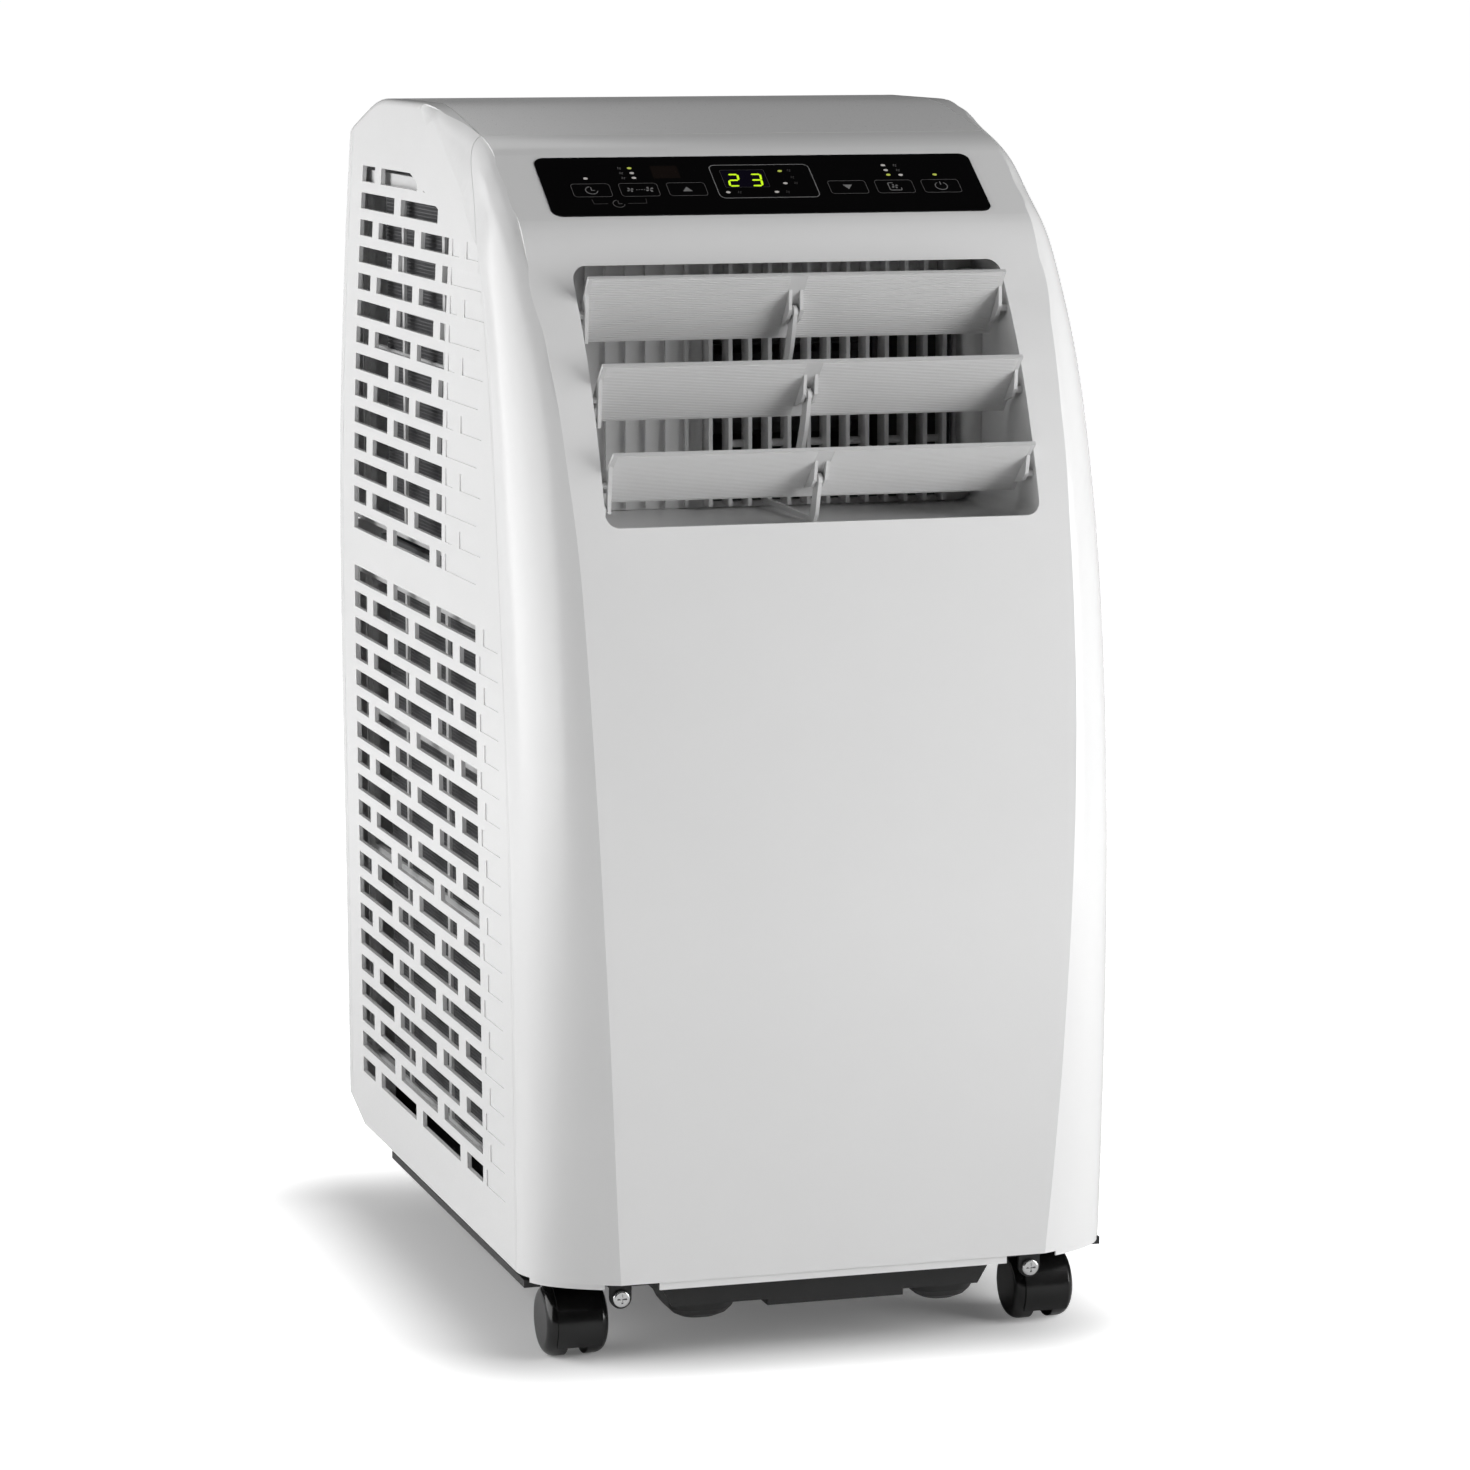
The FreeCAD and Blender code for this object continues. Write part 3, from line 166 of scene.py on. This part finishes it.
# ---------------------------------------------------------------- finishes
BLACK_GLOSS = (0.0022, 0.0021, 0.0023)
BLACK_NYLON = (0.006, 0.006, 0.006)
FINISHES = {
    "white_abs": dict(colour=(0.80, 0.80, 0.80), rough=0.22, mottle=0.006, spread=0.03, bump=0.015),
    "cover_abs": dict(colour=(0.76, 0.76, 0.76), rough=0.30, mottle=0.006, bump=0.02),
    "louvre_abs": dict(colour=(0.62, 0.62, 0.62), rough=0.38, mottle=0.01),
    "duct_abs": dict(colour=(0.68, 0.68, 0.68), rough=0.38, mottle=0.01),
    "black_pp": dict(colour=(0.012, 0.012, 0.012), rough=0.42, mottle=0.15, bump=0.12),
    "overlay_gloss": dict(colour=BLACK_GLOSS, rough=0.07, spread=0.02, bump=0.0, specular=0.25),
    "display_gloss": dict(colour=BLACK_GLOSS, rough=0.06, spread=0.02, bump=0.0, specular=0.25),
    "key_gloss": dict(colour=BLACK_GLOSS, rough=0.09, spread=0.02, bump=0.0, specular=0.25),
    "circuit_board": dict(colour=(0.012, 0.09, 0.04), rough=0.35, mottle=0.3),
    "filter_frame": dict(colour=(0.70, 0.70, 0.70), rough=0.40, mottle=0.02),
    "black_rubber": dict(colour=(0.02, 0.02, 0.02), rough=0.65, mottle=0.1, bump=0.15),
    "grey_pp": dict(colour=(0.20, 0.205, 0.21), rough=0.50, mottle=0.05, bump=0.1),
    "zinc_steel": dict(colour=(0.52, 0.53, 0.54), rough=0.38, mottle=0.08, metal=0.9, grain=0.004),
    "black_enamel": dict(colour=(0.012, 0.012, 0.013), rough=0.20, mottle=0.1, bump=0.05),
    "coil_fins": dict(colour=(0.45, 0.46, 0.47), rough=0.35, mottle=0.08, metal=0.8),
    "copper_pipe": dict(colour=(0.66, 0.30, 0.17), rough=0.30, mottle=0.12, metal=1.0),
    "capacitor_can": dict(colour=(0.60, 0.60, 0.60), rough=0.30, mottle=0.05, metal=0.9),
    "caster_nylon": dict(colour=BLACK_NYLON, rough=0.22, mottle=0.1, bump=0.05),
    "wheel_nylon": dict(colour=BLACK_NYLON, rough=0.18, mottle=0.1, bump=0.04),
    "screw_steel": dict(colour=(0.72, 0.72, 0.72), rough=0.22, mottle=0.05, metal=1.0, grain=0.003),
}
finish = {slot: moulded(slot + "_finish", **recipe) for slot, recipe in FINISHES.items()}
INK = moulded("panel_ink", (0.20, 0.20, 0.20), 0.5, mottle=0.08)
SOFT_INK = moulded("panel_ink_soft", (0.085, 0.083, 0.083), 0.5, mottle=0.08)
DIM_INK = moulded("panel_ink_dim", (0.035, 0.033, 0.033), 0.5, mottle=0.1)
# Unlit lamps: a painted glow, they give off light although switched off.
UNLIT_LAMP_PAINTED_GLOW = glowing("panel_lamp_off_painted_glow", (0.52, 0.50, 0.48), 0.25)
LAMP_LIT = glowing("panel_lamp_lit", (0.42, 0.48, 0.08), 0.5)
DIGIT_LIT = glowing("display_digit_lit", (0.42, 0.66, 0.01), 1.1)
PANE_TINT = moulded("display_pane_tint", (0.004, 0.003, 0.009), 0.12, specular=0.3)
SENSOR = moulded("infrared_window_tint", (0.009, 0.006, 0.005), 0.15, specular=0.3)
NET = moulded("filter_net_fibre", (0.16, 0.16, 0.165), 0.6, mottle=0.1)

for name, mesh in frame["nodes"].items():
    for slot in mesh.material_slots:
        slot.material = finish[slot.material.name.split(".")[0]]


# ---------------------------------------------------------------- building pieces
MITRE_LIMIT = 0.5           # a sharp bend widens a stroke no more than one over this
CORNER_POINTS = 5


class Solids:
    """Closed solids of one piece, drawn on a plane: x and y in it, z out of it, in millimetres."""

    def __init__(self, plane):
        self.plane = plane
        self.points = []
        self.faces = []

    def loft(self, rings, closed=False):
        """Joins equal rings of points into a tube, capped unless closed on itself."""
        first = len(self.points)
        size = len(rings[0])
        self.points += [p for ring in rings for p in ring]
        count = len(rings)
        for i in range(count if closed else count - 1):
            a = first + i * size
            b = first + (i + 1) % count * size
            for k in range(size):
                n = (k + 1) % size
                self.faces.append((a + k, a + n, b + n, b + k))
        if not closed:
            self.faces.append(tuple(first + k for k in reversed(range(size))))
            self.faces.append(tuple(first + (count - 1) * size + k for k in range(size)))

    def prism(self, outline, low, high):
        """Flat outline, anticlockwise, from z low to high."""
        self.loft([[(x, y, z) for x, y in outline] for z in (low, high)])

    def box(self, x0, x1, y0, y1, low, high):
        self.prism([(x0, y0), (x1, y0), (x1, y1), (x0, y1)], low, high)

    def stroke(self, line, width, low, high, closed=False):
        """Band of even width along a line."""
        line = [Vector(p) for p in line]
        count = len(line)
        rings = []
        for i, point in enumerate(line):
            before = line[i - 1] if closed or i > 0 else None
            after = line[(i + 1) % count] if closed or i < count - 1 else None
            ways = [(b - a).normalized() for a, b in ((before, point), (point, after))
                    if a is not None and b is not None]
            across = sum((Vector((-w.y, w.x)) for w in ways), Vector((0, 0))).normalized()
            stretch = 1 / max(MITRE_LIMIT, across.dot(Vector((-ways[0].y, ways[0].x))))
            side = across * (width / 2 * stretch)
            left, right = point + side, point - side
            rings.append([(right.x, right.y, low), (right.x, right.y, high),
                          (left.x, left.y, high), (left.x, left.y, low)])
        self.loft(rings, closed)

    def piece(self, name, material, slot, body):
        mesh = bpy.data.meshes.new(name)
        mesh.from_pydata([self.plane @ (Vector(p) * MM) for p in self.points], [], self.faces)
        mesh.materials.append(material)
        mesh.validate()
        made = bpy.data.objects.new(name, mesh)
        bpy.context.scene.collection.objects.link(made)
        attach(made, body)


def arc(x, y, rx, ry, start, end, count=20):
    turns = np.radians(np.linspace(start, end, count))
    return [(x + rx * math.cos(t), y + ry * math.sin(t)) for t in turns]


def rounded(half_w, half_h, radius, x=0.0, y=0.0):
    """Outline of a rounded rectangle, anticlockwise."""
    line = []
    for turn, sx, sy in ((0, 1, 1), (90, -1, 1), (180, -1, -1), (270, 1, -1)):
        centre = (x + sx * (half_w - radius), y + sy * (half_h - radius))
        line += arc(*centre, radius, radius, turn, turn + 90, CORNER_POINTS)
    return line


def vertices(name):
    mesh = frame["nodes"][name].data
    found = np.empty(len(mesh.vertices) * 3)
    mesh.vertices.foreach_get("co", found)
    return found.reshape(-1, 3)


# ---------------------------------------------------------------- control panel
OUTWARDS = -Vector(JOINTS["key_power_press"]["axis"])
UPSLOPE = Vector((0, OUTWARDS.z, -OUTWARDS.y))
PRINT = 0.06                # thickness of the printed lines, millimetres
SUNK = -0.04                # where they start below the surface
FACE_DEPTH = 0.0002         # points this close to the highest one are on the outer face, metres
ICON_LINE = 0.5
FAN_BLADE = [(0.15, 0.0), (0.95, -0.15), (1.0, 0.35), (0.55, 0.42)]     # for a radius of 1
FAN_LEAN = 20
SIGN_RADIUS = 1.3
LAMP_HALF = (1.35, 0.95)
LAMP_HIGH = PRINT + 0.03
KEY_LINE = 0.35             # width of a key's outline
KEY_LINE_IN = 0.4           # from the key's edge
KEY_CORNER = 2.0


def face_plane(name):
    """Plane on the outer face of a node of the sloping panel, and the face's half sizes in mm."""
    points = vertices(name)
    heights = points @ np.array(OUTWARDS)
    top = points[heights > heights.max() - FACE_DEPTH]
    along = top @ np.array(UPSLOPE)
    x0, x1 = top[:, 0].min(), top[:, 0].max()
    y0, y1 = along.min(), along.max()
    centre = Vector(((x0 + x1) / 2, 0, 0)) + UPSLOPE * ((y0 + y1) / 2) + OUTWARDS * heights.max()
    plane = Matrix((Vector((1, 0, 0)), UPSLOPE, OUTWARDS)).transposed().to_4x4()
    plane.translation = centre
    return plane, (x1 - x0) / 2 / MM, (y1 - y0) / 2 / MM


def fan_icon(ink, x, y, radius):
    """Four-bladed fan."""
    for quarter in range(4):
        turn = math.radians(90 * quarter + FAN_LEAN)
        blade = [(x + radius * (u * math.cos(turn) - v * math.sin(turn)),
                  y + radius * (u * math.sin(turn) + v * math.cos(turn))) for u, v in FAN_BLADE]
        ink.prism(blade, SUNK, PRINT)


def clock_icon(ink, x, y, radius=3.5, width=ICON_LINE):
    """Clock whose rim is open at its upper right."""
    ink.stroke(arc(x, y, radius, radius, 100, 350), width, SUNK, PRINT)
    ink.stroke([(x, y + radius * 0.85), (x, y), (x + radius * 0.6, y)], width, SUNK, PRINT)


def fan_speed_icon(ink):
    fan_icon(ink, -5.4, 0, 2.1)
    for x in (-1.9, -0.4, 1.1, 2.6):
        ink.box(x, x + 0.8, -0.2, 0.2, SUNK, PRINT)
    fan_icon(ink, 6.1, 0.2, 2.5)


def power_icon(ink):
    ink.stroke(arc(0, 0, 3.6, 3.6, 122, 418, 26), ICON_LINE, SUNK, PRINT)
    ink.stroke([(0, 4.2), (0, 1.2)], ICON_LINE, SUNK, PRINT)


def mode_icon(ink):
    ink.stroke([(-0.5, 3.5), (-3.2, 3.5), (-3.6, 2.8), (-3.6, -2.9), (-3.0, -3.5), (3.0, -3.5),
                (3.6, -2.8), (3.6, -1.2)], ICON_LINE, SUNK, PRINT)
    fan_icon(ink, 0, 0.2, 2.1)


ICONS = {
    "timer": lambda ink: clock_icon(ink, 0, 0),
    "fan_speed": fan_speed_icon,
    "up": lambda ink: ink.prism([(-2.8, -2.0), (2.8, -2.0), (0, 2.3)], SUNK, PRINT),
    "down": lambda ink: ink.prism([(-2.8, 2.3), (0, -2.0), (2.8, 2.3)], SUNK, PRINT),
    "mode": mode_icon,
    "power": power_icon,
}


def key_print(key):
    plane, half_w, half_h = face_plane("key_" + key)
    line = Solids(plane)
    outline = rounded(half_w - KEY_LINE_IN, half_h - KEY_LINE_IN, KEY_CORNER)
    line.stroke(outline, KEY_LINE, SUNK, PRINT, True)
    line.piece(f"key_{key}_outline", SOFT_INK, "key_gloss", "key_" + key)
    icon = Solids(plane)
    ICONS[key](icon)
    icon.piece(f"key_{key}_icon", INK, "key_gloss", "key_" + key)


for key in ICONS:
    key_print(key)

# Lamps and small signs above the keys: key, offset from its centre, and for a lamp lit or not.
LAMPS = [("timer", -1.0, 11.5, False), ("fan_speed", -1.1, 20.9, True),
         ("fan_speed", -0.7, 16.2, False), ("fan_speed", -0.5, 11.5, False),
         ("mode", -1.6, 20.9, False), ("mode", -1.2, 16.1, False), ("mode", -0.8, 11.5, True),
         ("mode", 6.6, 11.3, False), ("power", -0.9, 11.2, True)]
SIGNS = [("fan_speed", -7.2, 20.9), ("fan_speed", -7.0, 16.2), ("fan_speed", -6.8, 11.5),
         ("mode", 5.5, 20.7), ("mode", 6.2, 15.9)]
# The same on the display, from the window's centre.
WINDOW_LAMPS = [(-24.1, -10.4, False), (11.7, 9.5, True), (12.1, -2.4, False), (4.8, -10.6, False)]
WINDOW_SIGNS = [(-17.4, -10.5), (17.2, 10.1), (17.7, 3.4), (18.5, -2.2), (11.4, -10.7)]
# The sign that joins the first two keys, from the middle between them: a clock between two lines.
PAIR_CLOCK = (-1.0, -12.9)
PAIR_CLOCK_RADIUS = 3.4
PAIR_CLOCK_LINE = 0.45
PAIR_LINES = [[(-15.9, -8.4), (-15.4, -12.8), (-7.2, -12.8)],
              [(15.9, -8.4), (15.4, -12.8), (4.4, -12.8)]]
PAIR_LINE = 0.4
# Infrared window, from the centre of the key below it.
SENSOR_AT = (-9.1, 16.8)
SENSOR_SHAPE = (8.0, 6.0, 0.8)      # half width, half height, corner radius


def lamp(dots, x, y):
    dots.prism(arc(x, y, *LAMP_HALF, 0, 337.5, 16), SUNK, LAMP_HIGH)


def panel_print():
    overlay, _, _ = face_plane("control_overlay")
    inverse = overlay.inverted()
    on, off, soft, dim = (Solids(overlay) for _ in range(4))

    def key_centre(key):
        return inverse @ face_plane("key_" + key)[0].translation / MM

    for key, dx, dy, lit in LAMPS:
        centre = key_centre(key)
        lamp(on if lit else off, centre.x + dx, centre.y + dy)
    for key, dx, dy in SIGNS:
        centre = key_centre(key)
        fan_icon(soft, centre.x + dx, centre.y + dy, SIGN_RADIUS)
    pair = (key_centre("timer") + key_centre("fan_speed")) / 2
    x, y = PAIR_CLOCK
    clock_icon(soft, pair.x + x, pair.y + y, PAIR_CLOCK_RADIUS, PAIR_CLOCK_LINE)
    for line in PAIR_LINES:
        dim.stroke([(pair.x + x, pair.y + y) for x, y in line], PAIR_LINE, SUNK, PRINT)
    # the unlit lamps carry a painted glow
    off.piece("panel_lamps_off_painted_glow", UNLIT_LAMP_PAINTED_GLOW, "overlay_gloss", "casing")
    on.piece("panel_lamps_lit", LAMP_LIT, "overlay_gloss", "casing")
    soft.piece("panel_signs", SOFT_INK, "overlay_gloss", "casing")
    dim.piece("panel_lock_line", DIM_INK, "overlay_gloss", "casing")
    sensor = Solids(overlay)
    up = key_centre("up")
    x, y = SENSOR_AT
    sensor.prism(rounded(*SENSOR_SHAPE, up.x + x, up.y + y), SUNK, PRINT / 2)
    sensor.piece("infrared_window", SENSOR, "overlay_gloss", "casing")


SEGMENTS = {"2": "abged", "3": "abgcd"}
DIGIT_HIGH = 12.2
DIGIT_WIDE = 7.0
SEGMENT_WIDE = 1.25
SEGMENT_GAP = 0.2
DIGIT_LEAN = 0.11
LIT_HIGH = PRINT + 0.04
DIGITS = [("2", -18.0), ("3", -4.4)]    # figure and place along the window
DIGIT_LINE = 1.1                        # place across it
WINDOW_EDGE = (0.3, 3.6, 0.5)           # outline: in from the edge, corner radius, width
PANE = (13.2, 8.3, 0.8, -11.1, 2.7)     # half width, half height, corner radius, centre
PANE_LINE = 0.3


def digit(lit, text, x, y):
    """Seven-segment figure, leaning a little to the right."""
    w = DIGIT_WIDE / 2 - SEGMENT_WIDE / 2
    h = DIGIT_HIGH / 2 - SEGMENT_WIDE / 2
    ends = {"a": ((-w, h), (w, h)), "b": ((w, 0), (w, h)), "c": ((w, -h), (w, 0)),
            "d": ((-w, -h), (w, -h)), "e": ((-w, -h), (-w, 0)), "f": ((-w, 0), (-w, h)),
            "g": ((-w, 0), (w, 0))}
    for part in SEGMENTS[text]:
        a, b = (Vector(p) for p in ends[part])
        way = (b - a).normalized()
        side = Vector((-way.y, way.x)) * SEGMENT_WIDE / 2
        tip = way * SEGMENT_WIDE / 2
        start, stop = a + way * SEGMENT_GAP, b - way * SEGMENT_GAP
        ring = [start, start + tip - side, stop - tip - side, stop, stop - tip + side,
                start + tip + side]
        lit.prism([(x + p.x + p.y * DIGIT_LEAN, y + p.y) for p in ring], SUNK, LIT_HIGH)


def display():
    plane, half_w, half_h = face_plane("display_window")
    edge = Solids(plane)
    inset, corner, width = WINDOW_EDGE
    edge.stroke(rounded(half_w - inset, half_h - inset, corner), width, SUNK, PRINT, True)
    edge.piece("display_outline", INK, "display_gloss", "casing")
    pane = Solids(plane)
    pane.prism(rounded(*PANE), SUNK, PRINT / 3)
    pane.piece("display_pane", PANE_TINT, "display_gloss", "casing")
    rim = Solids(plane)
    rim.stroke(rounded(*PANE), PANE_LINE, SUNK, PRINT / 2, True)
    for x, y in WINDOW_SIGNS:
        fan_icon(rim, x, y, SIGN_RADIUS)
    rim.piece("display_signs", DIM_INK, "display_gloss", "casing")
    figures = Solids(plane)
    for text, x in DIGITS:
        digit(figures, text, x, DIGIT_LINE)
    figures.piece("display_figures", DIGIT_LIT, "display_gloss", "casing")
    on, off = Solids(plane), Solids(plane)
    for x, y, lit in WINDOW_LAMPS:
        lamp(on if lit else off, x, y)
    on.piece("display_lamps_lit", LAMP_LIT, "display_gloss", "casing")
    # the unlit lamps carry a painted glow
    off.piece("display_lamps_off_painted_glow", UNLIT_LAMP_PAINTED_GLOW, "display_gloss", "casing")


panel_print()
display()

# ---------------------------------------------------------------- louvre blades
BLADE_LEAN = {"upper": 34.8, "middle": 26.7, "lower": 20.2}   # back from upright when shut
BLADE_WIDE = 45.5
BLADE_THICK = 2.2
BLADE_BOW = 0.9
PIVOT_ALONG = 23.5
PIVOT_BACK = 5.6
RIB_PITCH = 1.3
RIB_START = 1.8             # first rib, from the blade's front edge
RIB_MARGIN = 2.5            # both ends of the blade without ribs
RIB_HALF = 0.34
RIB_HIGH = 0.34
RIB_ROOT = 0.12             # how far a rib starts below the face
RIB_SPANS = [(-120.6, -4.8), (4.8, 120.6)]


def side_heading(degrees):
    turn = math.radians(degrees)
    return Vector((0, math.cos(turn), math.sin(turn)))


def blade_ribs(name):
    """Fine ribs along the inner face of a blade, which is bowed."""
    joint = JOINTS[f"louvre_{name}_turn"]
    turned = BLADE_LEAN[name] + JOINTS["louvre_upper_turn"]["range_deg"][1]
    along, inwards = side_heading(90 - turned), side_heading(-turned)
    plane = Matrix((Vector((1, 0, 0)), along, inwards)).transposed().to_4x4()
    edge = Vector(joint["pos_m"]) - (along * PIVOT_ALONG + inwards * PIVOT_BACK) * MM
    plane.translation = edge
    ribs = Solids(plane)
    for i in range(int((BLADE_WIDE - RIB_MARGIN) / RIB_PITCH)):
        s = RIB_START + i * RIB_PITCH
        u = s / BLADE_WIDE * 2 - 1
        face = BLADE_THICK - BLADE_BOW * (1 - u * u)
        for x0, x1 in RIB_SPANS:
            ribs.loft([[(x, s - RIB_HALF, face - RIB_ROOT), (x, s + RIB_HALF, face - RIB_ROOT),
                        (x, s, face + RIB_HIGH)] for x in (x0, x1)])
    ribs.piece(f"louvre_ribs_{name}", finish["louvre_abs"], "louvre_abs", "blade_" + name)


for name in BLADE_LEAN:
    blade_ribs(name)

# ---------------------------------------------------------------- filter nets
NET_PITCH = (1.9, 2.1)      # between upright and level strands
STRAND = 0.42
NET_REAR = 166.0
FILTER_RIM = 5.0


def filter_net(name):
    """Net stretched over the filter's frame, as a lattice of strands."""
    low, high = (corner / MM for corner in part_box(name))
    x = (low.x + high.x) / 2
    front, foot, top = low.y + FILTER_RIM, low.z + FILTER_RIM, high.z - FILTER_RIM
    net = Solids(Matrix.Identity(4))
    for y in np.arange(front, NET_REAR, NET_PITCH[0]):
        net.box(x - STRAND / 2, x + STRAND / 2, y, y + STRAND, foot, top)
    for z in np.arange(foot, top, NET_PITCH[1]):
        net.box(x - STRAND / 3, x + STRAND / 3, front, NET_REAR, z, z + STRAND)
    net.piece(name.replace("filter", "filter_net"), NET, "filter_frame", name)


for side in ("left", "right"):
    for level in ("upper", "lower"):
        filter_net(f"filter_{side}_{level}")


# ---------------------------------------------------------------- studio
def vector_step(tree, operation, first, second=None):
    made = node(tree, "VectorMath", operation=operation)
    tree.links.new(first, made.inputs[0])
    if second is not None:
        made.inputs[1].default_value = second
    return made.outputs["Value" if operation == "LENGTH" else "Vector"]


def camera_switch(tree):
    """Sockets for what other rays get and for what the camera sees, and the socket of the result."""
    made = node(tree, "Mix", data_type="FLOAT")
    tree.links.new(node(tree, "LightPath").outputs["Is Camera Ray"], made.inputs[0])
    return made.inputs[2], made.inputs[3], made.outputs[0]


def studio_floor():
    """White floor: it lights the object from afar, and to the camera it glows white except in a
    painted soft shadow around it, where the lamps' real shadow also shows.
    """
    material, tree, shader = start_material("studio_floor")
    tint = blend_colours(tree, noise(tree, FLOOR_CELL), *FLOOR_TINTS)
    tree.links.new(tint, shader.inputs["Base Color"])
    shader.inputs["Roughness"].default_value = 0.9
    shader.inputs["Specular IOR Level"].default_value = 0.0
    shader.inputs["Emission Color"].default_value = (1, 1, 1, 1)
    place = node(tree, "TexCoord").outputs["Object"]
    away = vector_step(tree, "LENGTH", place)
    glow = remap(tree, away, GLOW_RADII, (0.0, FLOOR_GLOW), "SMOOTHSTEP")
    offset = vector_step(tree, "SUBTRACT", place, (*SHADOW_MIDDLE, 0))
    beyond = vector_step(tree, "SUBTRACT", vector_step(tree, "ABSOLUTE", offset), (*SHADOW_HALF, 0))
    outside = vector_step(tree, "LENGTH", vector_step(tree, "MAXIMUM", beyond, (0, 0, 0)))
    # painted shadow: the camera-seen glow is low in a box around the footprint and rises to white
    # outside it
    white = remap(tree, outside, (0.0, SHADOW_FADE), PAINTED_SHADOW_GLOW, "SMOOTHSTEP")
    others, seen, strength = camera_switch(tree)
    tree.links.new(glow, others)
    tree.links.new(white, seen)
    tree.links.new(strength, shader.inputs["Emission Strength"])
    mesh = bpy.data.meshes.new("studio_floor")
    corners = [(x * FLOOR_HALF, y * FLOOR_HALF, 0) for x, y in ((-1, -1), (1, -1), (1, 1), (-1, 1))]
    mesh.from_pydata(corners, [], [(0, 1, 2, 3)])
    mesh.materials.append(material)
    floor = bpy.data.objects.new("studio_floor", mesh)
    bpy.context.scene.collection.objects.link(floor)


def studio_sky():
    world = bpy.data.worlds.new("studio_sky")
    bpy.context.scene.world = world
    world.use_nodes = True
    tree = world.node_tree
    others, seen, strength = camera_switch(tree)
    others.default_value = SKY
    seen.default_value = 1.0
    tree.links.new(strength, tree.nodes["Background"].inputs["Strength"])
    tree.nodes["Background"].inputs["Color"].default_value = (1, 1, 1, 1)


def soft_box(name, place, size, watts):
    data = bpy.data.lights.new(name, "AREA")
    data.shape = "RECTANGLE"
    data.size, data.size_y = size
    data.energy = watts
    made = bpy.data.objects.new("soft_box_" + name, data)
    made.location = place
    aim = Vector(AIM) - Vector(place)
    made.rotation_euler = aim.to_track_quat("-Z", "Y").to_euler()
    made.visible_camera = False
    bpy.context.scene.collection.objects.link(made)


def camera():
    data = bpy.data.cameras.new("camera")
    data.lens = CAMERA_LENS
    data.sensor_width = SENSOR_WIDE
    data.clip_end = CLIP_END
    made = bpy.data.objects.new("camera", data)
    yaw, pitch = math.radians(CAMERA_YAW), math.radians(CAMERA_PITCH)
    forwards = Vector((math.sin(yaw) * math.cos(pitch), math.cos(yaw) * math.cos(pitch),
                       -math.sin(pitch)))
    made.location = CAMERA_AT
    made.rotation_euler = forwards.to_track_quat("-Z", "Y").to_euler()
    bpy.context.scene.collection.objects.link(made)
    bpy.context.scene.camera = made


studio_floor()
studio_sky()
for name, (place, size, watts) in SOFT_BOXES.items():
    soft_box(name, place, size, watts)
camera()
bpy.context.scene.view_settings.view_transform = "Standard"
